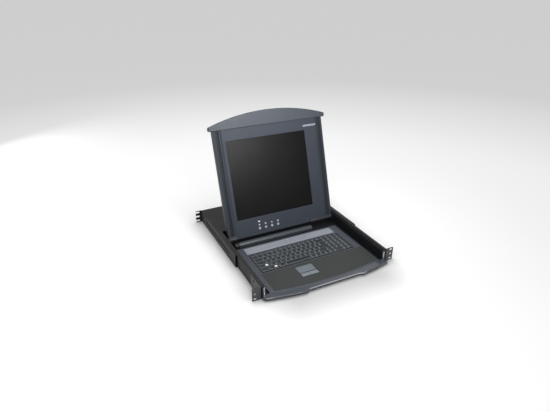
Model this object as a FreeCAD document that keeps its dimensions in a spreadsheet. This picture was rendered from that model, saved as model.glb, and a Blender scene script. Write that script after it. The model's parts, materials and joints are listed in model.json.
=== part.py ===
"""Rackmount LCD console drawer, one rack unit high.

Millimetres. X runs along the width, Y from the rack's front mounting plane to the rear, Z up.
The origin is the centre of the front mounting holes. Every sub-part is drawn with Z counted from
the unit's underside, and its placement lowers it by half the unit's height. The lid's pieces are
drawn in a frame of their own: origin on the hinge axis, Y up the lid and Z out of its face.
"""
import FreeCAD, Part
import os
import Sketcher
from types import SimpleNamespace

Vector = FreeCAD.Vector
EPS = 0.01

SIZES = [
    # frame
    ("unit_height", 43.7, "height of the unit, one rack unit less its clearance"),
    ("rack_width", 482.6, "width over the rack ears"),
    ("frame_depth", 506, "front mounting plane to the face of the rear ears"),
    ("rail_half", 215, "centre to the outer face of a side rail"),
    ("rail_wall", 1.5, "sheet of the side rails"),
    ("rail_flange", 9, "width of the rails' flanges"),
    ("clearance", 0.3, "gap between neighbouring pieces"),
    # rack ears
    ("hole_span", 465.1, "left to right spacing of the rack holes"),
    ("hole_rise", 15.875, "middle hole to the upper or lower one"),
    ("slot_width", 6.8, "width of the rack slots"),
    ("slot_length", 10, "length of the rack slots over their ends"),
    ("ear_wall", 2, "sheet of the ears"),
    ("ear_return", 62, "length of the ear's return along the rail"),
    ("ear_corner", 3, "corner radius of the ears"),
    ("ear_screw_front", 18, "mounting plane to the ears' front screw"),
    ("ear_screw_rear", 46, "mounting plane to the ears' rear screw"),
    ("ear_screw_rise", 8, "mid-height to the ears' screws"),
    ("bracket_front", 172, "front end of the rear brackets"),
    ("bracket_stand", 5.6, "how far the rear brackets stand out from the rails"),
    ("bracket_travel", 100, "adjustment of the rear brackets"),
    ("bracket_screw_y", 330, "place of the rear brackets' front screw"),
    ("bracket_screw_pitch", 120, "spacing of the rear brackets' screws"),
    # fasteners
    ("screw_radius", 2, "shank radius of the frame screws"),
    ("screw_head", 3.8, "head radius of the frame screws"),
    ("screw_head_height", 1.8, "head height of the frame screws"),
    # telescopic slides
    ("slide_height", 35, "height of the slides' fixed members"),
    ("slide_depth", 7.1, "depth of the slides' fixed members"),
    ("slide_wall", 1.1, "sheet of the slides"),
    ("slide_gap", 0.4, "running gap between slide members"),
    ("slide_lip", 2.1, "lips that hold one member inside the next"),
    ("slide_front", 1.5, "front end of the fixed members"),
    ("slide_length", 466, "length of the fixed members"),
    ("middle_length", 415, "length of the middle members"),
    ("inner_length", 295, "length of the inner members"),
    # electronics box
    ("cover_front", 318, "front edge of the box's cover"),
    ("sheet", 1.2, "sheet of the box and of the tray"),
    ("pan_floor", 2, "underside of the box's floor"),
    ("board_height", 7, "underside of the main board"),
    ("board_left", -196, "left edge of the main board"),
    ("board_width", 288, "width of the main board"),
    ("supply_left", 106, "left side of the power supply"),
    ("supply_width", 90, "width of the power supply"),
    ("port_pitch", 33, "spacing of the rear sockets"),
    ("port_start", -178, "first of the rear sockets"),
    ("inlet_x", 170, "middle of the power inlet"),
    ("switch_x", 137, "middle of the power switch"),
    # drawer
    ("tray_half", 203.5, "centre to the outer face of the tray's walls"),
    ("tray_floor", 3, "underside of the tray"),
    ("tray_wall_top", 36, "top of the tray's side walls"),
    ("tray_rear", 306, "rear end of the tray"),
    ("tray_front", -10, "front corners of the tray's floor"),
    ("tray_bulge", 16, "how far the tray floor's front edge bulges"),
    ("deck_half", 188, "half width of the keyboard deck"),
    ("deck_top", 12, "top of the keyboard deck"),
    ("deck_rear", 246, "rear edge of the keyboard deck"),
    ("deck_front", -3, "front corners of the keyboard deck"),
    ("deck_bulge", 21, "how far the deck's front edge bulges"),
    ("deck_wall", 2, "wall of the keyboard deck"),
    ("lip_half", 212, "half width of the front handle"),
    ("lip_corner", -20, "front corners of the front handle"),
    ("lip_bulge", 25, "how far the front handle bulges"),
    ("lip_under", 4.4, "underside of the front handle"),
    ("grip_left", -84, "left end of the front handle's recessed middle"),
    ("grip_right", 98, "right end of the front handle's recessed middle"),
    ("grip_depth", 7, "depth of the front handle's recessed middle"),
    ("palm_left", -172, "left edge of the palm rest"),
    ("palm_right", 184, "right edge of the palm rest"),
    ("palm_rear", 88, "rear edge of the palm rest"),
    ("palm_bulge", 15, "how far the palm rest's front edge bulges"),
    ("palm_sink", 1, "depth of the palm rest's seat"),
    ("strip_left", -167, "left end of the port strip"),
    ("strip_right", 157, "right end of the port strip"),
    ("strip_front", 204, "front edge of the port strip"),
    ("strip_depth", 34, "depth of the port strip"),
    ("strip_sink", 0.6, "depth of the port strip's seat"),
    # keyboard
    ("key_left", -165, "left end of the key rows"),
    ("key_front", 94.5, "front edge of the first key row"),
    ("key_pitch", 17.2, "spacing of the keys"),
    ("key_pitch_function", 12.6, "depth of the function row"),
    ("key_gap", 1.5, "gap between keys at their foot"),
    ("key_foot", 12.3, "underside of the keycaps"),
    ("key_top", 16.8, "top of the keycaps"),
    ("key_taper", 14, "slope of the keycaps' sides, in degrees"),
    ("key_post", 3, "side of the posts under the keycaps"),
    ("key_window", 1.9, "margin of the deck's window round the keys"),
    ("plate_top", 9.8, "top of the plate under the keys"),
    ("plate_wall", 1.4, "thickness of the plate under the keys"),
    # touchpad
    ("pad_left", -67.5, "left edge of the touchpad"),
    ("pad_width", 56, "width of the touchpad"),
    ("pad_front", 38.5, "front edge of the touch surface"),
    ("pad_depth", 34.5, "depth of the touch surface"),
    ("pad_button_depth", 15.3, "depth of the touchpad's buttons"),
    ("pad_button_gap", 0.6, "gap round the touchpad's buttons"),
    # hinge
    ("hinge_y", 290, "hinge axis, behind the mounting plane"),
    ("hinge_height", 26.8, "hinge axis, above the underside"),
    ("shaft_radius", 3, "radius of the hinge shafts"),
    ("shaft_fit", 0.06, "radial running fit of the hinge shafts"),
    ("shaft_length", 25, "length of the hinge shafts"),
    ("bar_y", 273, "middle of the cover bar in front of the hinge"),
    ("bar_depth", 22, "cover bar, front to rear"),
    ("bar_height", 13.2, "height of the cover bar"),
    ("bar_crown", 5, "rise of the cover bar's arched top"),
    ("bar_gap", 0.8, "cover bar to the tray's floor"),
    ("bar_left", -168, "left end of the cover bar"),
    ("bar_right", 105, "right end of the cover bar"),
    ("bar_cap", 15, "length of the cap at the cover bar's left end"),
    ("knuckle_radius", 8.5, "radius of the lid's knuckles"),
    ("knuckle_short", 26, "length of the left knuckle"),
    ("knuckle_long", 86, "length of the right knuckle"),
    ("bracket_wall", 4, "thickness of the hinge brackets"),
    # lid
    ("lid_tilt", 17.1, "how far the open lid leans back, in degrees"),
    ("lid_half", 198, "half width of the lid"),
    ("lid_foot", 10, "hinge axis to the lid's lower edge"),
    ("lid_chin", 12, "how far the lid reaches down between its knuckles"),
    ("lid_length", 345, "lower edge of the lid to its upper edge"),
    ("lid_face", 8, "hinge axis to the lid's face"),
    ("lid_back", 14, "hinge axis to the lid's back"),
    ("lid_wall", 2.2, "wall of the lid's mouldings"),
    ("bezel_skin", 3.2, "thickness of the bezel's face"),
    ("bevel_width", 15, "width of the bezel's outer bevels"),
    ("bevel_drop", 2.4, "drop of the bezel's outer bevels"),
    ("groove_width", 12.5, "width of the bezel's side grooves"),
    ("groove_slope", 4.2, "width of the grooves' sloping sides"),
    ("groove_depth", 2.2, "depth of the bezel's side grooves"),
    ("screen_left", -158.8, "left edge of the visible screen"),
    ("screen_width", 284.8, "width of the visible screen"),
    ("screen_low", 47.4, "lower edge of the lid to the visible screen"),
    ("screen_rise", 259.6, "height of the visible screen"),
    ("screen_rim", 1.7, "how far the glass reaches behind the bezel"),
    ("glass", 0.8, "thickness of the screen's front glass"),
    ("panel_rim", 7, "how far the display module reaches past the screen"),
    ("panel_depth", 8.8, "depth of the display module"),
    ("boss_inset", 10.5, "lid screws from the lid's edges"),
    ("boss_radius", 4, "radius of the lid's screw bosses"),
    ("handle_half", 210, "half width of the upper handle"),
    ("handle_end", 13, "height of the upper handle at its ends"),
    ("handle_rise", 35, "rise of the upper handle's arch"),
    ("handle_front", 9.5, "hinge axis to the upper handle's front"),
    ("handle_back", 4, "hinge axis to the upper handle's back"),
    ("button_first", -84.8, "first of the lid's buttons"),
    ("button_pitch", 22.9, "spacing of the lid's buttons"),
    ("button_radius", 4.3, "radius of the lid's buttons"),
    ("button_height", 8, "lower edge of the lid to the buttons' middle"),
    ("button_proud", 0.2, "how far the lid's buttons stand out"),
]


class Dim:
    """A size in mm, or a sum of sizes, together with its spreadsheet formula."""

    def __init__(self, value, formula):
        self.value, self.formula = float(value), formula

    def combine(self, other, sign, value):
        return Dim(value, "(%s %s %s)" % (self.formula, sign, other.formula))

    def __add__(self, other):
        other = dim(other)
        return self.combine(other, "+", self.value + other.value)

    def __sub__(self, other):
        other = dim(other)
        return self.combine(other, "-", self.value - other.value)

    def __mul__(self, other):
        other = dim(other)
        return self.combine(other, "*", self.value * other.value)

    def __truediv__(self, other):
        other = dim(other)
        return self.combine(other, "/", self.value / other.value)

    def __neg__(self):
        return self * -1

    def __rsub__(self, other):
        return dim(other) - self

    __radd__ = __add__
    __rmul__ = __mul__


def dim(size):
    """A size as a Dim, also when it is a bare number."""
    return size if isinstance(size, Dim) else Dim(size, "%.6g" % size)


def least(first, second):
    """The smaller of two sizes, also when either changes later."""
    return Dim(min(first.value, second.value), "min(%s; %s)" % (first.formula, second.formula))


doc = FreeCAD.newDocument("console_drawer")
sheet = doc.addObject("Spreadsheet::Sheet", "sizes")
for row, (alias, number, meaning) in enumerate(SIZES, start=1):
    sheet.set("A%d" % row, alias)
    sheet.set("B%d" % row, "%g" % number)
    sheet.set("C%d" % row, meaning)
    sheet.setAlias("B%d" % row, alias)
doc.recompute()
d = SimpleNamespace(**{alias: Dim(number, "sizes." + alias) for alias, number, meaning in SIZES})

middle = d.unit_height / 2
rail_inside = d.rail_half - d.rail_wall
tray_floor_top = d.tray_floor + d.sheet
lid_top = d.lid_foot + d.lid_length
screen_foot = d.lid_foot + d.screen_low
screen_right = d.screen_left + d.screen_width
screen_top = screen_foot + d.screen_rise
skin_back = d.lid_face - d.bezel_skin
glass_front = skin_back - d.clearance
panel_front = glass_front - d.glass
panel_back = panel_front - d.panel_depth
board_front = skin_back - 1.8
plate_under = d.plate_top - d.plate_wall

bodies = []


# ---------------------------------------------------------------- sketch outlines
def bind(thing, prop, size):
    """Set a property to a size and tie it to the size's formula."""
    if "sizes." in size.formula:
        thing.setExpression(prop, size.formula)
    elif prop.startswith("."):
        thing.setExpression(prop[1:], size.formula)
    else:
        setattr(thing, prop, size.value)


class Outline:
    """Closed lines of a sketch, kept with their constraints until they are drawn together."""

    def __init__(self):
        self.lines, self.rules, self.ties = [], [], []

    def place(self, line, end, x, y):
        """Hold one end (or centre, 3) of a line at a point measured from the origin."""
        for kind, size in (("DistanceX", dim(x)), ("DistanceY", dim(y))):
            self.rules.append(Sketcher.Constraint(kind, -1, 1, line, end, size.value))
            if "sizes." in size.formula:
                self.ties.append((len(self.rules) - 1, size.formula))

    def join(self, first, last):
        """Join the ends of consecutive lines into one closed loop."""
        for line in range(first, last + 1):
            following = first if line == last else line + 1
            self.rules.append(Sketcher.Constraint("Coincident", line, 2, following, 1))

    def polygon(self, points):
        first = len(self.lines)
        flat = [Vector(dim(x).value, dim(y).value, 0) for x, y in points]
        self.lines += [Part.LineSegment(a, b) for a, b in zip(flat, flat[1:] + flat[:1])]
        self.join(first, len(self.lines) - 1)
        for line, (x, y) in enumerate(points, start=first):
            self.place(line, 1, x, y)
        return self

    def rectangle(self, x0, y0, x1, y1):
        return self.polygon([(x0, y0), (x1, y0), (x1, y1), (x0, y1)])

    def circle(self, x, y, radius):
        radius = dim(radius)
        line = len(self.lines)
        centre = Vector(dim(x).value, dim(y).value, 0)
        self.lines.append(Part.Circle(centre, Vector(0, 0, 1), radius.value))
        self.place(line, 3, x, y)
        self.rules.append(Sketcher.Constraint("Radius", line, radius.value))
        if "sizes." in radius.formula:
            self.ties.append((len(self.rules) - 1, radius.formula))
        return self

    def arched(self, points, bulge):
        """A polygon whose last side, back to the first point, is an arc of the given bulge."""
        bulge = dim(bulge)
        first = len(self.lines)
        flat = [Vector(dim(x).value, dim(y).value, 0) for x, y in points]
        self.lines += [Part.LineSegment(a, b) for a, b in zip(flat, flat[1:])]
        start, end = flat[-1], flat[0]
        chord = end - start
        outward = Vector(chord.y, -chord.x, 0).normalize()
        crown = (start + end) * 0.5 + outward * bulge.value
        self.lines.append(Part.Arc(start, crown, end))
        arc = len(self.lines) - 1
        turned = (self.lines[arc].StartPoint - start).Length > EPS
        for line in range(first, arc - 1):
            self.rules.append(Sketcher.Constraint("Coincident", line, 2, line + 1, 1))
        near, far = (2, 1) if turned else (1, 2)
        self.rules.append(Sketcher.Constraint("Coincident", arc - 1, 2, arc, near))
        self.rules.append(Sketcher.Constraint("Coincident", arc, far, first, 1))
        for line, (x, y) in enumerate(points[:-1], start=first):
            self.place(line, 1, x, y)
        self.place(arc - 1, 2, *points[-1])
        half = (dim(points[-1][0]) - points[0][0]) / 2
        radius = half * half / (2 * bulge) + bulge / 2
        self.rules.append(Sketcher.Constraint("Radius", arc, abs(radius.value)))
        self.ties.append((len(self.rules) - 1, radius.formula))
        return self


def sketch_on(body, name, plane, start, outline):
    """Sketch on one of the body's own origin planes, moved along that plane's axis."""
    sketch = body.newObject("Sketcher::SketchObject", name + "_sketch")
    role = plane + "_Plane"
    sketch.AttachmentSupport = [(f, "") for f in body.Origin.OriginFeatures if f.Role == role]
    sketch.MapMode = "FlatFace"
    offset = -dim(start) if plane == "XZ" else dim(start)
    sketch.AttachmentOffset = FreeCAD.Placement(Vector(0, 0, offset.value), FreeCAD.Rotation())
    if "sizes." in offset.formula:
        sketch.setExpression(".AttachmentOffset.Base.z", offset.formula)
    sketch.addGeometry(outline.lines, False)
    sketch.addConstraint(outline.rules)
    for index, formula in outline.ties:
        sketch.setExpression("Constraints[%d]" % index, formula)
    return sketch


# ---------------------------------------------------------------- features
def part(label, frame="unit"):
    """A body for one sub-part, in the unit's frame or in the lid's."""
    body = doc.addObject("PartDesign::Body", label)
    body.Label = label
    body.AllowCompound = True
    if frame == "lid":
        angle = 90 - d.lid_tilt
        at = Vector(0, d.hinge_y.value, (d.hinge_height - middle).value)
        body.Placement = FreeCAD.Placement(at, FreeCAD.Rotation(Vector(1, 0, 0), angle.value))
        body.setExpression("Placement.Base.y", d.hinge_y.formula)
        body.setExpression("Placement.Base.z", (d.hinge_height - middle).formula)
        body.setExpression("Placement.Rotation.Angle", angle.formula)
    else:
        body.Placement.Base = Vector(0, 0, -middle.value)
        body.setExpression("Placement.Base.z", (-middle).formula)
    bodies.append(body)
    return body


def check(feature, body):
    """Stop at a feature that failed to recompute."""
    if "Invalid" in feature.State or "Error" in feature.State:
        raise ValueError("%s of %s failed" % (feature.Label, body.Label))


def prism(kind, body, name, plane, start, end, outline, taper=None):
    """Pad or pocket from one coordinate to the other along the plane's axis."""
    before = body.Shape.Volume if body.Tip else 0
    feature = body.newObject("PartDesign::" + kind, name)
    feature.Profile = sketch_on(body, name, plane, start, outline)
    feature.Reversed = (plane == "XZ") == (kind == "Pad")
    bind(feature, "Length", dim(end) - start)
    if taper is not None:
        bind(feature, "TaperAngle", taper)
    body.Tip = feature
    doc.recompute()
    check(feature, body)
    grown = body.Shape.Volume - before
    if grown * (1 if kind == "Pad" else -1) < EPS:
        raise ValueError("%s of %s changes nothing" % (name, body.Label))
    return feature


def add(body, name, plane, start, end, outline, taper=None):
    return prism("Pad", body, name, plane, start, end, outline, taper)


def cut(body, name, plane, start, end, outline):
    return prism("Pocket", body, name, plane, start, end, outline)


def edges(feature, axis, keep):
    """Names of a feature's straight edges along an axis whose middle passes the test."""
    found = []
    for number, edge in enumerate(feature.Shape.Edges, start=1):
        ends = [v.Point for v in edge.Vertexes]
        if len(ends) < 2:
            continue
        run = ends[1] - ends[0]
        straight = axis is None or abs(run.dot(axis)) > 0.999 * edge.Length
        if straight and keep((ends[0] + ends[1]) * 0.5):
            found.append("Edge%d" % number)
    return found


def soften(kind, body, name, axis, size, keep):
    """Fillet or chamfer the chosen edges of the body's tip."""
    base = body.Tip
    feature = body.newObject("PartDesign::" + kind, name)
    feature.Base = (base, edges(base, axis, keep))
    bind(feature, "Radius" if kind == "Fillet" else "Size", dim(size))
    body.Tip = feature
    doc.recompute()
    check(feature, body)
    return feature


HEXAGON = [(2.5, 0), (1.25, 2.165), (-1.25, 2.165), (-2.5, 0), (-1.25, -2.165), (1.25, -2.165)]
X, Y, Z = Vector(1, 0, 0), Vector(0, 1, 0), Vector(0, 0, 1)
SIDES = (("left", -1), ("right", 1))


def at(number, size):
    """Whether a coordinate lies on a size."""
    return abs(number - dim(size).value) < EPS


def ordered(first, second):
    """Two sizes, the smaller one first."""
    return sorted((dim(first), dim(second)), key=lambda size: size.value)


# ---------------------------------------------------------------- frame
ear_screws = [(d.ear_screw_front, -d.ear_screw_rise), (d.ear_screw_rear, d.ear_screw_rise)]


def side_rail(name, side):
    body = part("side_rail_" + name)
    inner, outer = side * (d.rail_half - d.rail_flange), side * d.rail_half
    web = side * rail_inside
    add(body, "channel", "XZ", 0, d.frame_depth - d.ear_wall, Outline().polygon([
        (inner, 0), (outer, 0), (outer, d.unit_height), (inner, d.unit_height),
        (inner, d.unit_height - d.rail_wall), (web, d.unit_height - d.rail_wall),
        (web, d.rail_wall), (inner, d.rail_wall)]))
    holes = Outline()
    for y, rise in ear_screws:
        holes.circle(y, middle + rise, d.screw_radius + 0.1)
    for y in (d.bracket_screw_y, d.bracket_screw_y + d.bracket_screw_pitch):
        holes.circle(y, middle, d.screw_radius + 0.1)
    low, high = ordered(side * (rail_inside - 1), side * (d.rail_half + 1))
    cut(body, "screw_holes", "YZ", low, high, holes)


def rack_holes(side):
    """The slots, and the round hole, of one front ear."""
    outline = Outline()
    x = side * d.hole_span / 2
    reach = (d.slot_length - d.slot_width) / 2
    for rise in (-d.hole_rise, d.hole_rise):
        outline.rectangle(x - reach, middle + rise - d.slot_width / 2,
                          x + reach, middle + rise + d.slot_width / 2)
    return outline.circle(x, middle, d.slot_width / 2)


def front_ear(name, side):
    body = part("front_ear_" + name)
    outer, inner = side * d.rack_width / 2, side * d.rail_half
    add(body, "plate", "XZ", -d.ear_wall, 0, Outline().rectangle(inner, 0, outer, d.unit_height))
    add(body, "return", "XZ", -EPS, d.ear_return, Outline().rectangle(
        inner, 2, inner + side * d.ear_wall, d.unit_height - 2))
    soften("Fillet", body, "corners", Y, d.ear_corner,
           lambda c: at(c.x, outer) and c.y < 0)
    cut(body, "slots", "XZ", -d.ear_wall, 0, rack_holes(side))
    slot_ends(body, side)
    holes = Outline()
    for y, rise in ear_screws:
        holes.circle(y, middle + rise, d.screw_radius + 0.1)
    low, high = ordered(inner, inner + side * d.ear_wall)
    cut(body, "screw_holes", "YZ", low, high, holes)


def slot_ends(body, side):
    """Round the ends of the slots, two circles a sketch because circles of one slot overlap."""
    reach = (d.slot_length - d.slot_width) / 2
    for label, way in (("near", -1), ("far", 1)):
        outline = Outline()
        for rise in (-d.hole_rise, d.hole_rise):
            outline.circle(side * d.hole_span / 2 + way * reach, middle + rise, d.slot_width / 2)
        cut(body, "slot_ends_" + label, "XZ", -d.ear_wall, 0, outline)


def rear_bracket(name, side):
    """Channel round the outside of the rail, with an ear whose slots are open at the edge."""
    body = part("rear_bracket_" + name)
    near = side * (d.rail_half + d.clearance)
    outer = side * (d.rail_half + d.bracket_stand)
    web = outer - side * d.rail_wall
    rear = d.frame_depth - d.ear_wall
    add(body, "channel", "XZ", d.bracket_front, rear, Outline().polygon([
        (near, 0), (outer, 0), (outer, d.unit_height), (near, d.unit_height),
        (near, d.unit_height - d.rail_wall), (web, d.unit_height - d.rail_wall),
        (web, d.rail_wall), (near, d.rail_wall)]))
    edge = side * d.rack_width / 2
    add(body, "ear", "XZ", rear - EPS, d.frame_depth,
        Outline().rectangle(web, 0, edge, d.unit_height))
    slots = Outline()
    for rise in (-d.hole_rise, 0, d.hole_rise):
        slots.rectangle(side * (d.hole_span - d.slot_length) / 2, middle + rise - d.slot_width / 2,
                        edge + side, middle + rise + d.slot_width / 2)
    cut(body, "open_slots", "XZ", rear - 1, d.frame_depth, slots)
    tracks = Outline()
    for y in (d.bracket_screw_y, d.bracket_screw_y + d.bracket_screw_pitch):
        tracks.rectangle(y - d.bracket_travel - 6, middle - d.screw_radius - 0.4,
                         y + 6, middle + d.screw_radius + 0.4)
    low, high = ordered(web - side, outer + side)
    cut(body, "tracks", "YZ", low, high, tracks)
    soften("Fillet", body, "corners", Y, d.ear_corner / 2, lambda c: at(c.x, edge) and (
        at(c.z, 0) or at(c.z, d.unit_height)))


def slide_outer(name, side):
    body = part("slide_outer_" + name)
    web = side * rail_inside
    wall = side * d.slide_wall
    mouth = side * (rail_inside - d.slide_depth)
    half, skin, lip = d.slide_height / 2, d.slide_wall, d.slide_lip
    add(body, "member", "XZ", d.slide_front, d.slide_front + d.slide_length, Outline().polygon([
        (web, middle - half), (web, middle + half), (mouth, middle + half),
        (mouth, middle + half - skin - lip), (mouth + wall, middle + half - skin - lip),
        (mouth + wall, middle + half - skin), (web - wall, middle + half - skin),
        (web - wall, middle - half + skin), (mouth + wall, middle - half + skin),
        (mouth + wall, middle - half + skin + lip), (mouth, middle - half + skin + lip),
        (mouth, middle - half)]))


middle_half = d.slide_height / 2 - d.slide_wall - d.slide_gap
middle_web = rail_inside - d.slide_wall - d.slide_gap
middle_mouth = rail_inside - d.slide_depth + d.slide_wall + d.slide_gap
inner_half = middle_half - d.slide_wall - d.slide_gap
inner_web = middle_web - d.slide_wall - d.slide_gap


def slide_middle(name, side):
    body = part("slide_middle_" + name)
    web, mouth, wall = side * middle_web, side * middle_mouth, side * d.slide_wall
    half, skin, lip = middle_half, d.slide_wall, d.slide_lip
    start = d.slide_front + 2
    add(body, "member", "XZ", start, start + d.middle_length, Outline().polygon([
        (web, middle - half), (web, middle + half), (mouth, middle + half),
        (mouth, middle + half - skin - lip), (mouth + wall, middle + half - skin - lip),
        (mouth + wall, middle + half - skin), (web - wall, middle + half - skin),
        (web - wall, middle - half + skin), (mouth + wall, middle - half + skin),
        (mouth + wall, middle - half + skin + lip), (mouth, middle - half + skin + lip),
        (mouth, middle - half)]))


def slide_inner(name, side):
    """Hat section: its brim runs behind the middle member's lips, its crown carries the tray."""
    body = part("slide_inner_" + name)
    brim = side * inner_web
    under = side * (middle_mouth + d.slide_wall + d.slide_gap)
    crown, skin = side * d.tray_half, d.slide_wall
    half = inner_half
    neck = middle_half - d.slide_wall - d.slide_lip - d.slide_gap
    start = d.slide_front + 1
    add(body, "member", "XZ", start, start + d.inner_length, Outline().polygon([
        (brim, middle - half), (brim, middle - neck + skin), (crown + side * skin, middle - neck + skin),
        (crown + side * skin, middle + neck - skin), (brim, middle + neck - skin),
        (brim, middle + half), (under, middle + half), (under, middle + neck),
        (crown, middle + neck), (crown, middle - neck), (under, middle - neck),
        (under, middle - half)]))


def fasteners(label, places):
    """Hexagon-head screws along X: (side, head seat, y, z, length)."""
    body = part(label)
    for number, (side, seat, y, z, length) in enumerate(places):
        low, high = ordered(side * seat, side * (seat + d.screw_head_height))
        add(body, "head_%d" % number, "YZ", low, high, Outline().polygon([
            (y + across * d.screw_head / 2.5, z + up * d.screw_head / 2.5) for across, up in HEXAGON]))
        low, high = ordered(side * (seat + EPS), side * (seat - length))
        add(body, "shank_%d" % number, "YZ", low, high, Outline().polygon([
            (y + across * d.screw_radius / 2.5, z + up * d.screw_radius / 2.5) for across, up in HEXAGON]))


for name, side in SIDES:
    side_rail(name, side)
    front_ear(name, side)
    rear_bracket(name, side)
    slide_outer(name, side)
    slide_middle(name, side)
    slide_inner(name, side)

fasteners("frame_screws", [
    (side, seat, y, z, length) for name, side in SIDES for seat, y, z, length in (
        [(d.rail_half + d.ear_wall, y, middle + rise, d.ear_wall + d.rail_wall)
         for y, rise in ear_screws]
        + [(d.rail_half + d.bracket_stand + d.clearance, y, middle, d.bracket_stand + d.rail_wall + d.clearance)
           for y in (d.bracket_screw_y, d.bracket_screw_y + d.bracket_screw_pitch)])])


# ---------------------------------------------------------------- electronics box
box_half = least(d.rail_half - d.rail_flange, rail_inside - d.slide_depth - d.slide_gap) - d.clearance
box_top = d.unit_height - 0.2
panel_rear = d.frame_depth - d.sheet
panel_face = panel_rear - d.sheet
ports = [d.port_start + number * d.port_pitch for number in range(8)]


def rear_pan():
    body = part("rear_pan")
    start, end = d.cover_front + d.sheet + d.clearance, panel_face - d.clearance
    top = box_top - d.sheet - d.clearance
    wall = box_half - d.sheet
    add(body, "tray", "XZ", start, end, Outline().polygon([
        (-box_half, d.pan_floor), (box_half, d.pan_floor), (box_half, top), (wall, top),
        (wall, d.pan_floor + d.sheet), (-wall, d.pan_floor + d.sheet), (-wall, top),
        (-box_half, top)]))


def rear_cover():
    body = part("rear_cover")
    add(body, "bend", "YZ", -box_half, box_half, Outline().polygon([
        (d.cover_front, d.pan_floor), (d.cover_front, box_top), (panel_rear, box_top),
        (panel_rear, box_top - d.sheet), (d.cover_front + d.sheet, box_top - d.sheet),
        (d.cover_front + d.sheet, d.pan_floor)]))
    cut(body, "corner_notch", "XY", box_top - 9, box_top + 1, Outline().rectangle(
        -box_half - 1, d.cover_front - 1, -box_half + 13, d.cover_front + 9))
    soften("Fillet", body, "fold", X, d.sheet, lambda c: at(c.y, d.cover_front) and at(c.z, box_top))


def rear_panel():
    body = part("rear_panel")
    half = rail_inside - d.clearance
    top = box_top - d.sheet - d.clearance
    add(body, "plate", "XZ", panel_face, panel_rear,
        Outline().rectangle(-half, d.rail_wall + d.clearance, half, top))
    tabs = Outline()
    for way in (-1, 1):
        tabs.rectangle(way * half, 7, way * (half - d.sheet), 36)
    add(body, "tabs", "XZ", panel_face - 24, panel_face + EPS, tabs)
    openings = Outline()
    for x in ports:
        openings.rectangle(x - 9.4, middle - 4.9, x + 9.4, middle + 4.9)
    openings.rectangle(d.inlet_x - 13.8, middle - 10.2, d.inlet_x + 13.8, middle + 10.2)
    openings.rectangle(d.switch_x - 7, middle - 10.2, d.switch_x + 7, middle + 10.2)
    cut(body, "openings", "XZ", panel_face, panel_rear, openings)


def power_inlet():
    """Inlet and switch on one flange: a socket with three flat pins and a well for the rocker."""
    body = part("power_inlet")
    left, right = d.switch_x - 6.7, d.inlet_x + 13.5
    face = panel_rear + 1.5
    add(body, "housing", "XZ", panel_face - 17, panel_rear + EPS, Outline().rectangle(
        d.inlet_x - 13.5, middle - 9.9, right, middle + 9.9))
    add(body, "switch_housing", "XZ", panel_face - 17, panel_rear + EPS, Outline().rectangle(
        left, middle - 9.9, d.switch_x + 6.7, middle + 9.9))
    add(body, "flange", "XZ", panel_rear, face, Outline().rectangle(
        left - 2.5, middle - 12, right + 2.5, middle + 12))
    soften("Fillet", body, "flange_corners", Y, 2, lambda c: at(abs(c.z - middle.value), 12))
    cut(body, "socket", "XZ", face - 15, face + 1, Outline().polygon([
        (d.inlet_x - 12, middle - 8), (d.inlet_x + 12, middle - 8), (d.inlet_x + 12, middle + 3),
        (d.inlet_x + 7.5, middle + 8), (d.inlet_x - 7.5, middle + 8), (d.inlet_x - 12, middle + 3)]))
    pins = Outline()
    for x, z in ((-7, -2), (0, 3), (7, -2)):
        pins.rectangle(d.inlet_x + x - 1, middle + z - 2, d.inlet_x + x + 1, middle + z + 2)
    add(body, "pins", "XZ", face - 15 - EPS, face - 6, pins)
    cut(body, "switch_well", "XZ", face - 10, face + 1, Outline().rectangle(
        d.switch_x - 5.6, middle - 9, d.switch_x + 5.6, middle + 9))
    cut(body, "pivot_holes", "YZ", d.switch_x - 6.4, d.switch_x + 6.4,
        Outline().circle(face - 3, middle, 1.25))


def power_rocker():
    body = part("power_rocker")
    pivot = panel_rear - 1.5
    add(body, "rocker", "YZ", d.switch_x - 5.2, d.switch_x + 5.2, Outline().polygon([
        (pivot - 1.5, middle - 6), (pivot - 1.5, middle + 6), (pivot + 1, middle + 8.2),
        (pivot + 5, middle + 8.2), (pivot + 3.6, middle), (pivot + 5, middle - 8.2),
        (pivot + 1, middle - 8.2)]))
    add(body, "pivot", "YZ", d.switch_x - 6.3, d.switch_x + 6.3,
        Outline().circle(pivot, middle, 1.2))


def port_sockets():
    """Row of D-shell sockets behind the rear panel, their shells standing through it."""
    body = part("port_sockets")
    blocks, shells = Outline(), Outline()
    for x in ports:
        blocks.rectangle(x - 15.4, middle - 6.2, x + 15.4, middle + 6.2)
        shells.polygon([(x - 8, middle - 4), (x + 8, middle - 4),
                        (x + 9, middle + 4), (x - 9, middle + 4)])
    add(body, "blocks", "XZ", panel_face - 12, panel_face - 0.1, blocks)
    add(body, "shells", "XZ", panel_face - 1, panel_rear + 5, shells)
    posts = Outline()
    for x in ports:
        for way in (-1, 1):
            posts.polygon([(x + way * 12.5 + across, middle + up) for across, up in HEXAGON])
    add(body, "jack_posts", "XZ", panel_rear, panel_rear + 4, posts)


def main_board():
    body = part("main_board")
    front, rear = d.cover_front + 14, panel_face - 13
    add(body, "board", "XY", d.board_height, d.board_height + 1.6,
        Outline().rectangle(d.board_left, front, d.board_left + d.board_width, rear))
    posts, chips = Outline(), Outline()
    for x in (d.board_left + 8, d.board_left + d.board_width - 8):
        for y in (front + 8, rear - 8):
            posts.rectangle(x - 3, y - 3, x + 3, y + 3)
    add(body, "standoffs", "XY", d.pan_floor + d.sheet, d.board_height + EPS, posts)
    for x, y, width, depth in ((46, 60, 28, 28), (106, 50, 34, 34), (166, 70, 20, 14), (226, 40, 40, 22)):
        left = d.board_left + x
        chips.rectangle(left, front + y, left + width, front + y + depth)
    add(body, "chips", "XY", d.board_height + 1.6 - EPS, d.board_height + 5, chips)


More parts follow.
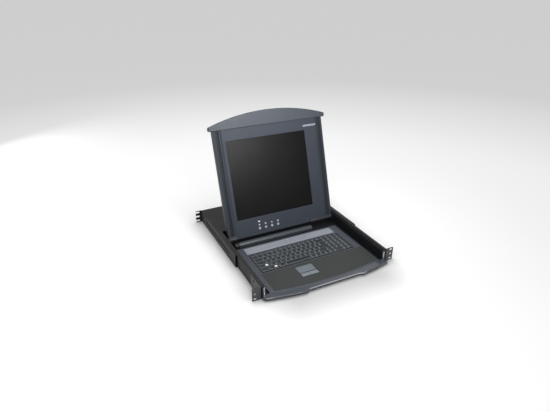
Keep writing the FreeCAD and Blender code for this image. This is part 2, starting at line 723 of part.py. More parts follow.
def power_supply():
    body = part("power_supply")
    top, right = box_top - 6.5, d.supply_left + d.supply_width
    add(body, "case", "XY", d.pan_floor + d.sheet, top, Outline().rectangle(
        d.supply_left, d.cover_front + 16, right, panel_face - 24))
    vents = Outline()
    for number in range(6):
        y = d.cover_front + 30 + 14 * number
        vents.rectangle(d.supply_left + 14, y, right - 14, y + 5)
    cut(body, "vents", "XY", top - 3, top + 1, vents)


rear_pan()
rear_cover()
rear_panel()
power_inlet()
power_rocker()
port_sockets()
main_board()
power_supply()


# ---------------------------------------------------------------- drawer
def drawer_tray():
    body = part("drawer_tray")
    half, inside = d.tray_half, d.tray_half - d.sheet
    add(body, "floor", "XY", d.tray_floor, tray_floor_top, Outline().arched([
        (half, d.tray_front), (half, d.tray_rear), (-half, d.tray_rear), (-half, d.tray_front)],
        d.tray_bulge))
    walls = Outline()
    for way in (-1, 1):
        walls.rectangle(way * inside, -1.4, way * half, d.tray_rear)
    add(body, "side_walls", "XY", d.tray_floor, d.tray_wall_top, walls)
    add(body, "rear_wall", "XY", d.tray_floor, 16, Outline().rectangle(
        -half, d.tray_rear - d.sheet, half, d.tray_rear))


def keyboard_deck():
    body = part("keyboard_deck")
    half, wall = d.deck_half, d.deck_wall
    under = tray_floor_top + d.clearance
    add(body, "block", "XY", under, d.deck_top, Outline().arched([
        (half, d.deck_front), (half, d.deck_rear), (-half, d.deck_rear), (-half, d.deck_front)],
        d.deck_bulge))
    soften("Fillet", body, "corners", Z, 5, lambda c: at(c.y, d.deck_rear))
    soften("Chamfer", body, "rim", None, 1, lambda c: at(c.z, d.deck_top))
    cut(body, "hollow", "XY", under, d.deck_top - wall, Outline().arched([
        (half - wall, 0), (half - wall, d.deck_rear - wall), (wall - half, d.deck_rear - wall),
        (wall - half, 0)], d.deck_bulge - 1))
    gap = d.clearance
    cut(body, "palm_seat", "XY", d.deck_top - d.palm_sink, d.deck_top + 1, Outline().arched([
        (d.palm_right + gap, -gap), (d.palm_right + gap, d.palm_rear + gap),
        (d.palm_left - gap, d.palm_rear + gap), (d.palm_left - gap, -gap)], d.palm_bulge))
    cut(body, "strip_seat", "XY", d.deck_top - d.strip_sink, d.deck_top + 1, Outline().rectangle(
        d.strip_left - gap, d.strip_front - gap, d.strip_right + gap,
        d.strip_front + d.strip_depth + gap))
    cut(body, "key_window", "XY", d.deck_top - wall, d.deck_top, Outline().rectangle(
        d.key_left - d.key_window, d.key_front - d.key_window,
        d.key_left + 19 * d.key_pitch + d.key_window, key_rear + d.key_window))
    cut(body, "touchpad_window", "XY", d.deck_top - wall, d.deck_top, touchpad_window())


def touchpad_window():
    gap = d.pad_button_gap
    front = d.pad_front - gap - d.pad_button_depth
    return Outline().rectangle(d.pad_left - gap, front - gap, d.pad_left + d.pad_width + gap,
                               d.pad_front + d.pad_depth + gap)


def palm_rest():
    body = part("palm_rest")
    add(body, "pad", "XY", d.deck_top - d.palm_sink, d.deck_top + 0.2, Outline().arched([
        (d.palm_right, 0), (d.palm_right, d.palm_rear), (d.palm_left, d.palm_rear),
        (d.palm_left, 0)], d.palm_bulge))
    soften("Fillet", body, "corners", Z, 4, lambda c: at(c.y, d.palm_rear))
    cut(body, "touchpad_window", "XY", d.deck_top - d.palm_sink, d.deck_top + 1, touchpad_window())


def port_strip():
    body = part("port_strip")
    top = d.deck_top + 0.8
    add(body, "plate", "XY", d.deck_top - d.strip_sink, top, Outline().rectangle(
        d.strip_left, d.strip_front, d.strip_right, d.strip_front + d.strip_depth))
    soften("Chamfer", body, "rim", None, 0.5, lambda c: at(c.z, top))
    cut(body, "inlay", "XY", top - 0.4, top + 1, Outline().rectangle(
        d.strip_left + 9, d.strip_front + 11, d.strip_left + (d.strip_right - d.strip_left) * 0.68,
        d.strip_front + 23))


def front_handle():
    """Arched lip with a recessed middle and a finger groove under it."""
    body = part("front_handle")
    rear, gap = d.deck_front - d.clearance, d.clearance
    top = d.deck_top
    add(body, "plate", "XY", d.lip_under, top, Outline().arched([
        (d.lip_half, d.lip_corner), (d.lip_half, rear), (-d.lip_half, rear),
        (-d.lip_half, d.lip_corner)], d.lip_bulge))
    soften("Fillet", body, "corners", Z, 8, lambda c: c.y < -10)
    cut(body, "deck_seat", "XY", d.lip_under, top, Outline().arched([
        (d.deck_half + gap, rear), (d.deck_half + gap, rear + 5), (-d.deck_half - gap, rear + 5),
        (-d.deck_half - gap, rear)], d.deck_bulge))
    grip = d.lip_corner - d.lip_bulge + d.grip_depth
    cut(body, "grip", "XY", d.lip_under, top, Outline().polygon([
        (d.grip_left - 10, grip - 20), (d.grip_left - 3, grip), (d.grip_left + 6, grip + 3),
        (d.grip_right - 6, grip + 3), (d.grip_right + 3, grip), (d.grip_right + 10, grip - 20)]))
    soften("Chamfer", body, "upper_rim", None, 1.8,
           lambda c: at(c.z, top) and c.y < -19)
    cut(body, "finger_groove", "XY", d.lip_under, d.lip_under + 3.6, Outline().rectangle(
        d.grip_left + 12, grip + 5.5, d.grip_right - 12, grip + 11))


def end_plates():
    """Bright plates that close the slides' front ends beside the ears."""
    body = part("end_plates")
    rear = d.deck_front + d.sheet + d.clearance
    plates = Outline()
    for way in (-1, 1):
        plates.rectangle(way * (d.tray_half - 4), d.lip_under + 0.6, way * (d.lip_half - 1), middle + 17.5)
    add(body, "plates", "XZ", rear - d.sheet, rear, plates)
    soften("Fillet", body, "corners", Y, 3, lambda c: c.z > middle.value)


drawer_tray_parts = (drawer_tray, palm_rest, port_strip, front_handle, end_plates)


# ---------------------------------------------------------------- keyboard
KEY_ROWS = {
    "key_row_1": [1.5, 1, 1, 1.25, 5.25, 1, 1, 1, 1, 1, 2, 1, 1],
    "key_row_2": [2.25] + [1] * 10 + [1.75, 1] + [1] * 4,
    "key_row_3": [1.75] + [1] * 11 + [2.25] + [1] * 4,
    "key_row_4": [1.5] + [1] * 12 + [1.5] + [1] * 4,
    "key_row_5": [1] * 13 + [2] + [1] * 4,
    "key_row_function": [1] * 19,
}
function_row = d.key_front + 5 * d.key_pitch
key_rear = function_row + d.key_pitch_function


def key_places(widths):
    """Left edge and width of each key of a row, in key pitches."""
    left = 0
    for width in widths:
        yield left, width
        left += width


def key_posts(widths, row_middle, side):
    """Square posts under a row's keys; a key wider than two pitches has two."""
    outline = Outline()
    for left, width in key_places(widths):
        spots = (0.5,) if width <= 2 else (0.2, 0.8)
        for spot in spots:
            x = d.key_left + (left + spot * width) * d.key_pitch
            outline.rectangle(x - side / 2, row_middle - side / 2, x + side / 2, row_middle + side / 2)
    return outline


def key_rows():
    for number, (label, widths) in enumerate(KEY_ROWS.items()):
        depth = d.key_pitch_function if number == 5 else d.key_pitch
        front = d.key_front + number * d.key_pitch
        half_gap = d.key_gap / 2
        caps = Outline()
        for left, width in key_places(widths):
            x = d.key_left + left * d.key_pitch
            caps.rectangle(x + half_gap, front + half_gap,
                           x + width * d.key_pitch - half_gap, front + depth - half_gap)
        body = part(label)
        add(body, "caps", "XY", d.key_foot, d.key_top, caps, taper=-d.key_taper)
        add(body, "posts", "XY", plate_under + 0.4, d.key_foot + EPS,
            key_posts(widths, front + depth / 2, d.key_post))
        yield front + depth / 2


def key_plate(rows):
    body = part("key_plate")
    margin = d.key_window + 2
    add(body, "plate", "XY", plate_under, d.plate_top, Outline().rectangle(
        d.key_left - margin, d.key_front - margin,
        d.key_left + 19 * d.key_pitch + margin, key_rear + margin))
    slots = Outline()
    reach = d.key_post / 2 + d.slide_gap
    for row_middle in rows:
        for start, end in ((0, 15), (15, 19)):
            slots.rectangle(d.key_left + start * d.key_pitch + 2, row_middle - reach,
                            d.key_left + end * d.key_pitch - 2, row_middle + reach)
    cut(body, "post_slots", "XY", plate_under, d.plate_top, slots)


def keyboard_board():
    body = part("keyboard_board")
    top = tray_floor_top + d.clearance + 1.6
    add(body, "board", "XY", tray_floor_top + d.clearance, top,
        Outline().rectangle(d.key_left + 15, d.key_front + 4,
                            d.key_left + 19 * d.key_pitch - 12, key_rear - 4))


def touchpad():
    body = part("touchpad")
    gap, front = d.pad_button_gap, d.pad_front - d.pad_button_gap - d.pad_button_depth
    right = d.pad_left + d.pad_width
    under = d.deck_top - d.deck_wall - 2
    add(body, "base", "XY", under, under + 1.7, Outline().rectangle(
        d.pad_left - 5, front - 5, right + 5, d.pad_front + d.pad_depth + 5))
    add(body, "surface", "XY", under + 1.7 - EPS, d.deck_top + 0.5, Outline().rectangle(
        d.pad_left, d.pad_front, right, d.pad_front + d.pad_depth))
    soften("Fillet", body, "surface_corners", Z, 2, lambda c: c.z > under.value + 2)
    posts = Outline()
    for centre in (d.pad_left + d.pad_width / 4, d.pad_left + 3 * d.pad_width / 4):
        y = front + d.pad_button_depth / 2
        posts.rectangle(centre - 2.4, y - 2.4, centre + 2.4, y + 2.4)
    cut(body, "post_holes", "XY", under, under + 1.7, posts)
    for name, centre in (("left", d.pad_left + d.pad_width / 4), ("right", d.pad_left + 3 * d.pad_width / 4)):
        button = part("touchpad_button_" + name)
        reach = d.pad_width / 4 - gap / 2
        add(button, "cap", "XY", under + 2.7, d.deck_top + 0.9, Outline().rectangle(
            centre - reach, front, centre + reach, front + d.pad_button_depth))
        soften("Fillet", button, "rim", None, 0.5, lambda c: at(c.z, d.deck_top + 0.9))
        add(button, "post", "XY", under + 0.6, under + 2.7 + EPS, Outline().rectangle(
            centre - 2, y - 2, centre + 2, y + 2))


# ---------------------------------------------------------------- hinge
bracket_inner = d.lid_half - 2
knuckle_outer = bracket_inner - d.clearance
chin_left = d.knuckle_short - knuckle_outer + 1
chin_right = knuckle_outer - d.knuckle_long - 1


def hinge():
    y, z = d.hinge_y, d.hinge_height
    head = d.shaft_radius + 5
    for name, side in SIDES:
        body = part("hinge_bracket_" + name)
        inner = side * bracket_inner
        outer = side * (bracket_inner + d.bracket_wall)
        low, high = ordered(inner, outer)
        add(body, "head", "YZ", low, high, Outline().circle(y, z, head))
        add(body, "stem", "YZ", low, high, Outline().polygon([
            (y - head, tray_floor_top), (y + head, tray_floor_top), (y + head, z), (y - head, z)]))
        add(body, "foot", "XY", tray_floor_top, tray_floor_top + 2, Outline().rectangle(
            side * (bracket_inner - 12), y - head - 3, outer, y + head + 3))
        cut(body, "bore", "YZ", low, high, Outline().circle(y, z, d.shaft_radius + 0.05))
    shafts = part("hinge_shafts")
    for name, side in SIDES:
        end = side * (bracket_inner + d.bracket_wall)
        low, high = ordered(end, end - side * d.shaft_length)
        add(shafts, "shaft_" + name, "YZ", low, high, Outline().circle(y, z, d.shaft_radius))


def cover_bar():
    """Arched bar that lies across the tray in front of the hinge, with a cap at its left end."""
    foot = tray_floor_top + d.bar_gap
    bar = part("cover_bar")
    add(bar, "bar", "YZ", d.bar_left, d.bar_right, bar_section(foot, 0))
    feet = Outline()
    for x in (d.bar_left + 20, (d.bar_left + d.bar_right) / 2, d.bar_right - 20):
        feet.rectangle(x - 5, d.bar_y - 4, x + 5, d.bar_y + 4)
    add(bar, "feet", "XY", tray_floor_top, foot + 2, feet)
    cap = part("cover_bar_cap")
    add(cap, "cap", "YZ", d.bar_left - d.bar_cap, d.bar_left, bar_section(foot, 0.6))


def bar_section(foot, inset):
    """Section of the cover bar, all round smaller by the inset."""
    front, rear = d.bar_y - d.bar_depth / 2 + inset, d.bar_y + d.bar_depth / 2 - inset
    shoulder = foot + d.bar_height - d.bar_crown - inset
    return Outline().arched([
        (front, shoulder), (front, foot + inset), (rear, foot + inset), (rear, shoulder)], d.bar_crown)


# ---------------------------------------------------------------- lid
def lid_corners():
    """Centres of the lid's four screws."""
    across = d.lid_half - d.boss_inset
    low, high = d.lid_foot + d.boss_inset, lid_top - d.boss_inset
    return [(side * across, height) for side in (-1, 1) for height in (low, high)]


def lid_bezel():
    body = part("lid_bezel", "lid")
    half, wall = d.lid_half, d.lid_wall
    add(body, "block", "XZ", d.lid_foot, lid_top, Outline().polygon([
        (-half, 0), (half, 0), (half, d.lid_face - d.bevel_drop),
        (half - d.bevel_width, d.lid_face), (d.bevel_width - half, d.lid_face),
        (-half, d.lid_face - d.bevel_drop)]))
    add(body, "chin", "XY", 0, d.lid_face, Outline().rectangle(
        chin_left, d.lid_foot - d.lid_chin, chin_right, d.lid_foot + wall))
    cut(body, "chin_hollow", "XY", 0, skin_back, Outline().rectangle(
        chin_left + wall, d.lid_foot - d.lid_chin + wall, chin_right - wall, d.lid_foot + 2 * wall))
    cut(body, "hollow", "XY", 0, skin_back, Outline().rectangle(
        wall - half, d.lid_foot + wall, half - wall, lid_top - wall))
    cut(body, "window", "XY", skin_back - 1, d.lid_face + 1, Outline().rectangle(
        d.screen_left, screen_foot, screen_right, screen_top))
    soften("Chamfer", body, "window_edge", None, 1.6, lambda c: at(c.z, d.lid_face)
           and d.screen_left.value - 1 < c.x < screen_right.value + 1
           and screen_foot.value - 1 < c.y < screen_top.value + 1)
    grooves = Outline()
    outer = half - d.bevel_width - 0.5
    inner = outer - d.groove_width
    for way in (-1, 1):
        grooves.polygon([
            (way * outer, d.lid_face + 1), (way * outer, d.lid_face),
            (way * (outer - d.groove_slope), d.lid_face - d.groove_depth),
            (way * (inner + d.groove_slope), d.lid_face - d.groove_depth),
            (way * inner, d.lid_face), (way * inner, d.lid_face + 1)])
    cut(body, "grooves", "XZ", d.lid_foot, lid_top, grooves)
    bosses, holes, reach = Outline(), Outline(), d.boss_radius
    for x, y in lid_corners():
        bosses.rectangle(x - reach, y - reach, x + reach, y + reach)
        holes.circle(x, y, 1.3)
    add(body, "bosses", "XY", d.lid_wall + 0.2 - d.lid_back, skin_back + EPS, bosses)
    cut(body, "screw_holes", "XY", d.lid_wall - d.lid_back, 0, holes)
    buttons = Outline()
    for number in range(4):
        buttons.circle(d.button_first + number * d.button_pitch, d.lid_foot + d.button_height,
                       d.button_radius + 0.35)
    buttons.rectangle(d.button_first - 3.9, d.lid_foot + 29.4, d.button_first + 3.9, d.lid_foot + 33.6)
    cut(body, "button_holes", "XY", skin_back - 1, d.lid_face + 1, buttons)


def lid_back_cover():
    body = part("lid_back_cover", "lid")
    half, wall, back = d.lid_half, d.lid_wall, -d.lid_back
    chin = d.lid_foot - d.lid_chin
    add(body, "block", "XY", back, -0.2, Outline().polygon([
        (-half, lid_top), (-half, d.lid_foot), (chin_left, d.lid_foot), (chin_left, chin),
        (chin_right, chin), (chin_right, d.lid_foot), (half, d.lid_foot), (half, lid_top)]))
    soften("Chamfer", body, "back_edges", None, 3.5, lambda c: at(c.z, back))
    cut(body, "hollow", "XY", back + wall, 0, Outline().rectangle(
        wall - half, d.lid_foot + wall, half - wall, lid_top - wall))
    cut(body, "chin_hollow", "XY", back + wall, 0, Outline().rectangle(
        chin_left + wall, chin + wall, chin_right - wall, d.lid_foot + 2 * wall))
    bosses, reach = Outline(), d.boss_radius
    for x in (d.screen_left + 14, screen_right - 14):
        for y in (screen_foot + 20, screen_top - 20):
            bosses.rectangle(x - reach, y - reach, x + reach, y + reach)
    add(body, "panel_bosses", "XY", back + wall - EPS, panel_back, bosses)
    holes = Outline()
    for x, y in lid_corners():
        holes.circle(x, y, 1.7)
    cut(body, "screw_holes", "XY", back, back + wall, holes)
    vents = Outline()
    for number in range(12):
        x = -88 + 16 * number
        vents.rectangle(x - 1.6, lid_top - 46, x + 1.6, lid_top - 22)
    cut(body, "vents", "XY", back, back + wall, vents)


def lid_inside():
    panel = part("lcd_panel", "lid")
    rim = d.panel_rim
    add(panel, "module", "XY", panel_back, panel_front, Outline().rectangle(
        d.screen_left - rim, screen_foot - rim, screen_right + rim, screen_top + rim))
    glass = part("lcd_glass", "lid")
    rim = d.screen_rim
    add(glass, "sheet", "XY", panel_front, glass_front, Outline().rectangle(
        d.screen_left - rim, screen_foot - rim, screen_right + rim, screen_top + rim))
    board = part("lid_board", "lid")
    add(board, "board", "XY", board_front - 1.6, board_front, Outline().rectangle(
        d.button_first - 12, d.lid_foot + d.lid_wall + 0.3, d.button_first + 4 * d.button_pitch,
        screen_foot - d.panel_rim - 1))
    lens = part("status_lens", "lid")
    add(lens, "pipe", "XY", board_front, d.lid_face + 0.2, Outline().rectangle(
        d.button_first - 3.6, d.lid_foot + 29.7, d.button_first + 3.6, d.lid_foot + 33.3))
    plate = part("name_plate", "lid")
    add(plate, "bar", "XY", d.lid_face, d.lid_face + 0.8, Outline().rectangle(
        screen_right - 4, lid_top - 26, screen_right + 46, lid_top - 19.5))
    soften("Chamfer", plate, "rim", None, 0.4, lambda c: at(c.z, d.lid_face + 0.8))


def lid_buttons():
    for number in range(4):
        body = part("lcd_button_%d" % (number + 1), "lid")
        x, y = d.button_first + number * d.button_pitch, d.lid_foot + d.button_height
        reach = d.button_radius + 1.2
        add(body, "flange", "XY", skin_back - 0.8, skin_back - 0.2, Outline().rectangle(
            x - reach, y - reach, x + reach, y + reach))
        add(body, "cap", "XY", skin_back - 0.2 - EPS, d.lid_face + d.button_proud,
            Outline().circle(x, y, d.button_radius))


def lid_screws():
    body = part("lid_screws", "lid")
    heads, shanks = Outline(), Outline()
    for x, y in lid_corners():
        heads.polygon([(x + across * 1.1, y + up * 1.1) for across, up in HEXAGON])
        shanks.polygon([(x + across / 2, y + up / 2) for across, up in HEXAGON])
    add(body, "heads", "XY", -d.lid_back - 1.2, -d.lid_back, heads)
    add(body, "shanks", "XY", -d.lid_back - EPS, -2, shanks)


def upper_handle():
    """Arched plate along the lid's upper edge, hollowed at the back for the fingers."""
    body = part("upper_handle", "lid")
    shoulder = lid_top + d.handle_end
    add(body, "plate", "XY", -d.handle_back, d.handle_front, Outline().arched([
        (-d.handle_half, shoulder), (-d.handle_half, lid_top), (d.handle_half, lid_top),
        (d.handle_half, shoulder)], d.handle_rise))
    soften("Fillet", body, "ends", Z, 5, lambda c: True)
    soften("Chamfer", body, "front_rim", None, 1.8,
           lambda c: c.y > lid_top.value + 1 and at(c.z, d.handle_front))
    cut(body, "finger_hollow", "XY", -d.handle_back, d.handle_front - 4, Outline().arched([
        (-d.handle_half + 60, lid_top + 22), (-d.handle_half + 60, lid_top + 8),
        (d.handle_half - 60, lid_top + 8), (d.handle_half - 60, lid_top + 22)], 18))


def hinge_knuckles():
    outer = knuckle_outer
    for name, side, length in (("left", -1, d.knuckle_short), ("right", 1, d.knuckle_long)):
        body = part("hinge_knuckle_" + name, "lid")
        low, high = ordered(side * outer, side * (outer - length))
        add(body, "round", "YZ", low, high, Outline().circle(0, 0, d.knuckle_radius))
        add(body, "block", "YZ", low, high, Outline().rectangle(
            0, -d.knuckle_radius, d.lid_foot, d.lid_face))
        depth = d.shaft_length - d.bracket_wall - d.clearance + 2
        low, high = ordered(side * outer, side * (outer - depth))
        cut(body, "bore", "YZ", low, high, Outline().circle(0, 0, d.shaft_radius + d.shaft_fit))


keyboard_deck()
for build in drawer_tray_parts:
    build()
key_plate(list(key_rows()))
keyboard_board()
touchpad()
hinge()
cover_bar()
lid_back_cover()
lid_bezel()
lid_inside()
lid_buttons()
lid_screws()
upper_handle()
hinge_knuckles()

# ---------------------------------------------------------------- checks and files
doc.recompute()
for thing in doc.Objects:
    if "Invalid" in thing.State or "Error" in thing.State:
        raise ValueError("%s failed" % thing.Label)
os.makedirs("parts", exist_ok=True)
for body in bodies:
    shape = body.Shape
    if shape.isNull() or not shape.isValid():
        raise ValueError("%s has no valid shape" % body.Label)
    shape.exportStep("parts/%s.step" % body.Label)
    print("%-24s %2d solids %12.1f mm3" % (body.Label, len(shape.Solids), shape.Volume))
print(len(bodies), "sub-parts")
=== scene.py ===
# %% [markdown]
# # A rackmount console drawer
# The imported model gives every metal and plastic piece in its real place, in metres. This lesson
# adds the finishes, the fine pieces that CAD leaves out, a studio and a camera.

# %% The frame
import json
from math import radians
import bmesh
import bpy
from mathutils import Matrix, Vector


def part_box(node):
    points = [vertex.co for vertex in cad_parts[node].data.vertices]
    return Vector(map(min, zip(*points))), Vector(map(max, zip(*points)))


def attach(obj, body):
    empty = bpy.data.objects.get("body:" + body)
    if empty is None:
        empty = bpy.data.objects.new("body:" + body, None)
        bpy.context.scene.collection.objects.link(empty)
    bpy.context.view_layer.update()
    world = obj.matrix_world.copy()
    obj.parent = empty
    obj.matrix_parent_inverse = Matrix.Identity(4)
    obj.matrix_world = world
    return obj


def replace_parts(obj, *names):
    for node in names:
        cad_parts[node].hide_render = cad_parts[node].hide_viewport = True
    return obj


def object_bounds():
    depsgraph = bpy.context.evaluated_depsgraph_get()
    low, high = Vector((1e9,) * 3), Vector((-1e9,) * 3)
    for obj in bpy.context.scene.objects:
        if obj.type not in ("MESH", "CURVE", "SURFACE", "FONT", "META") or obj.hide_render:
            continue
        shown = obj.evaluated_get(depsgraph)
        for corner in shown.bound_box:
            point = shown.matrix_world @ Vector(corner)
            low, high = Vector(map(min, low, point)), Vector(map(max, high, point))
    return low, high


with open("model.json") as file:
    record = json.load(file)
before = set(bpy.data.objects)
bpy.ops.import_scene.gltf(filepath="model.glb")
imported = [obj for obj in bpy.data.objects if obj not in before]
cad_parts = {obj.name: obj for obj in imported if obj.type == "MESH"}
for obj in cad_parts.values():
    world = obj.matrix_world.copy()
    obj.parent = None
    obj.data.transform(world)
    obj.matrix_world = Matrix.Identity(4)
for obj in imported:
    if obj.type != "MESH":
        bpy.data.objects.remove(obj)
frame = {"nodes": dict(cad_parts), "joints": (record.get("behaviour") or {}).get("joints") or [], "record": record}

cad_box = [list(corner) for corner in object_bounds()]
nodes = frame["nodes"]
print("pieces from the CAD model:", len(nodes))

# %% [markdown]
# ## Camera
# The unit is looked at from the front left and from above. The lens is fairly wide, so the front
# corner looks larger than the rear one. The camera is placed by its own spot and the point it
# looks at, because those two are easier to check than three angles.

# %% Camera
scene = bpy.context.scene
scene.view_settings.view_transform = "Standard"
eye = Vector((-0.6206, -0.9102, 0.76695))
looks_at = Vector((0.0214, 0.3889, 0.03815))
camera = bpy.data.objects.new("camera", bpy.data.cameras.new("camera"))
camera.data.lens = 29.34
camera.data.sensor_width = 36
camera.data.clip_start = 0.01
camera.location = eye
camera.rotation_euler = (looks_at - eye).to_track_quat("-Z", "Y").to_euler()
scene.collection.objects.link(camera)
scene.camera = camera
print("camera is", round((looks_at - eye).length, 3), "m from what it looks at")

# %% [markdown]
# ## Nodes by function
# A material is a tree of nodes. A few small helpers add a node and join two sockets, so that each
# finish below reads as a recipe and not as wiring.

# %% Node helpers
def add(tree, kind, **settings):
    node = tree.nodes.new("ShaderNode" + kind)
    for name, value in settings.items():
        setattr(node, name, value)
    return node


def join(tree, source, out, target, socket):
    tree.links.new(source.outputs[out], target.inputs[socket])


def noise(tree, coords, scale):
    texture = add(tree, "TexNoise")
    texture.inputs["Scale"].default_value = scale
    texture.inputs["Detail"].default_value = 4
    join(tree, coords, "Vector", texture, "Vector")
    return texture


def remap(tree, source, out, low, high, to_low, to_high):
    node = add(tree, "MapRange")
    settings = {"From Min": low, "From Max": high, "To Min": to_low, "To Max": to_high}
    for socket, value in settings.items():
        node.inputs[socket].default_value = value
    join(tree, source, out, node, "Value")
    return node


def multiply(tree, first, first_out, second, second_out):
    node = add(tree, "Math", operation="MULTIPLY")
    join(tree, first, first_out, node, 0)
    join(tree, second, second_out, node, 1)
    return node


def linear(red, green, blue):
    """A colour written as 0 to 255 on a screen, as the amount of light it stands for."""
    return tuple((c / 255 / 12.92 if c <= 10 else ((c / 255 + 0.055) / 1.055) ** 2.4)
                 for c in (red, green, blue)) + (1.0,)


# %% [markdown]
# ## One recipe for moulded, painted and plated pieces
# Real pieces are never one flat colour. The recipe mixes a slow mottle into the colour, a fine
# grain into the bump and the gloss, and a lighter line along each edge, which is partly rubbed wear
# and partly a painted highlight. The Bevel node rounds each sharp edge by a fraction of a millimetre
# in the shading only, and comparing it with the true normal shows where the edges are, whatever the
# mesh looks like.

# %% Finish recipe
# A Mix node has sockets for numbers, vectors and colours under the same names, so the ones for
# colours are picked by number.
MIX_A, MIX_B, MIX_OUT = 6, 7, 2
EDGE_SCUFF_AND_HIGHLIGHT_LIFT = Vector((0.03, 0.03, 0.03))
SLOW_SCALE, EDGE_RADIUS, COAT_ROUGH = 14, 0.0005, 0.12


def finish(name, colour, rough, grain=1400, depth=0.00004, mottle=0.10, stretch=(1, 1, 1),
           metallic=0.0, scuff_and_highlight=0.35, specular=0.5, coat=0.0):
    """Grain is the fineness of the bump, depth its height in metres, and scuff_and_highlight the
    share of the lighter edge line, which is part wear and part painted highlight.
    """
    material = bpy.data.materials.new(name)
    material.use_nodes = True
    tree = material.node_tree
    shader = tree.nodes["Principled BSDF"]
    shader.inputs["Metallic"].default_value = metallic
    shader.inputs["Specular IOR Level"].default_value = specular
    shader.inputs["Coat Weight"].default_value = coat
    shader.inputs["Coat Roughness"].default_value = COAT_ROUGH

    coords = add(tree, "TexCoord")
    lay = add(tree, "Mapping")
    lay.inputs["Scale"].default_value = stretch
    join(tree, coords, "Object", lay, "Vector")
    fine = noise(tree, lay, grain)
    slow = noise(tree, lay, SLOW_SCALE)

    rounded = add(tree, "Bevel", samples=4)
    rounded.inputs["Radius"].default_value = EDGE_RADIUS
    flat = add(tree, "NewGeometry")
    match = add(tree, "VectorMath", operation="DOT_PRODUCT")
    join(tree, rounded, "Normal", match, 0)
    join(tree, flat, "Normal", match, 1)
    # Where the bevelled normal leaves the true one is an edge. Its lighter line is partly wear and partly a
    # painted highlight.
    edge_mask_scuffed_and_lit = remap(tree, match, "Value", 0.995, 0.80, 0.0, scuff_and_highlight)

    tone = add(tree, "Mix", data_type="RGBA")
    base = Vector(linear(*colour)[:3])
    for socket, level in ((MIX_A, 1 - mottle), (MIX_B, 1 + mottle)):
        tone.inputs[socket].default_value = (*(base * level), 1)
    join(tree, slow, "Fac", tone, 0)
    edge_lightened = add(tree, "Mix", data_type="RGBA")
    edge_lightened.inputs[MIX_B].default_value = (*(base * 1.8 + EDGE_SCUFF_AND_HIGHLIGHT_LIFT), 1)
    join(tree, tone, MIX_OUT, edge_lightened, MIX_A)
    join(tree, edge_mask_scuffed_and_lit, "Result", edge_lightened, 0)
    join(tree, edge_lightened, MIX_OUT, shader, "Base Color")

    gloss = remap(tree, slow, "Fac", 0.3, 0.7, rough * 0.9, min(1.0, rough * 1.12))
    join(tree, gloss, "Result", shader, "Roughness")
    bump = add(tree, "Bump")
    bump.inputs["Strength"].default_value = 1.0
    bump.inputs["Distance"].default_value = depth
    join(tree, fine, "Fac", bump, "Height")
    join(tree, rounded, "Normal", bump, "Normal")
    join(tree, bump, "Normal", shader, "Normal")
    return material


# %% [markdown]
# ## The finishes
# Sheet steel gets a powder coat, which has a fine orange peel. Slides are zinc plated and drawn
# lengthwise, so their grain is squeezed along the other two directions. Mouldings have a
# spark-eroded grain: coarser on the palm rest, where a hand should not slip.

# %% Finishes
FINISHES = {
    "frame_black": finish("powder_coat_black", (36, 36, 35), 0.56, grain=1100, depth=0.00006,
                          specular=0.3),
    "ear_black": finish("ear_coat", (62, 63, 65), 0.46, grain=1100, depth=0.00005, scuff_and_highlight=0.6),
    "tray_black": finish("tray_coat", (20, 21, 24), 0.50, grain=1100, depth=0.00006, specular=0.3),
    "zinc": finish("zinc_plate", (120, 124, 130), 0.36, grain=900, depth=0.00002, mottle=0.08,
                   stretch=(1, 0.04, 1), metallic=0.9),
    "steel": finish("blackened_steel", (70, 71, 74), 0.34, grain=900, depth=0.00001, metallic=0.8),
    "slate_plastic": finish("slate_moulding", (52, 57, 66), 0.42, grain=1600, depth=0.00003,
                            mottle=0.05, specular=0.2),
    "palm_plastic": finish("palm_grain", (53, 56, 55), 0.60, grain=900, depth=0.00012, mottle=0.08,
                           specular=0.35),
    # Keys take a strong lighter edge line, mostly a painted highlight along their edges.
    "key_plastic": finish("key_moulding", (31, 35, 41), 0.42, grain=1500, depth=0.00002, scuff_and_highlight=0.8),
    "plate_black": finish("plate_moulding", (16, 17, 22), 0.60),
    "strip_silver": finish("strip_paint", (158, 163, 172), 0.36, grain=1300, depth=0.00001,
                           mottle=0.03, metallic=0.2),
    "touchpad_grey": finish("touch_surface", (108, 117, 125), 0.40, grain=1800, depth=0.00001,
                            mottle=0.03),
    "display": finish("display_film", (10, 10, 11), 0.35, grain=2500, depth=0.00001, mottle=0.04,
                      scuff_and_highlight=0.0),
    "board": finish("solder_mask", (28, 92, 58), 0.35, grain=700, depth=0.00004),
    "button_grey": finish("button_moulding", (158, 163, 169), 0.38, mottle=0.03),
    "lens": finish("light_pipe", (232, 236, 242), 0.18, mottle=0.02, scuff_and_highlight=0.0, coat=0.5),
    "connector": finish("socket_moulding", (60, 72, 108), 0.42),
    "inlet_black": finish("inlet_moulding", (30, 30, 32), 0.40),
    "supply": finish("coated_case", (148, 148, 146), 0.40, metallic=0.6),
}
print("finishes:", len(FINISHES))

# %% [markdown]
# ## Screen glass
# The glass in front of the display is a thin clear sheet with a matt coating against glare. Made
# as glass in the shader it would cost many light bounces, so it is a dark sheet whose weak and
# blurred gloss mirrors the studio softly.

# %% Screen glass
FINISHES["screen_glass"] = finish("screen_glass", (3, 3, 3), 0.32, grain=2500, depth=0.00001,
                                  mottle=0.05, scuff_and_highlight=0.0, specular=0.13)

# %% [markdown]
# ## Finishes of single pieces
# Some pieces share a material but not a finish. The lid's bezel has a groove down each side, whose
# shade is painted: a darker strip over the groove and the inner part of the bevel beside it. Its
# side walls are black like the back cover. One piece carries all three colours, so the shader reads
# how far each point lies from the middle plane and lays a darker strip over the moulding's own
# colour there. Painting by distance keeps the CAD mesh as it is, and because the distance is
# measured on the piece itself, the strips move with the lid.

# %% Single finishes
GROOVE_SHADE_BAND = (0.1765, 0.1895)
SIDE_WALL = (0.1972, 0.2100)


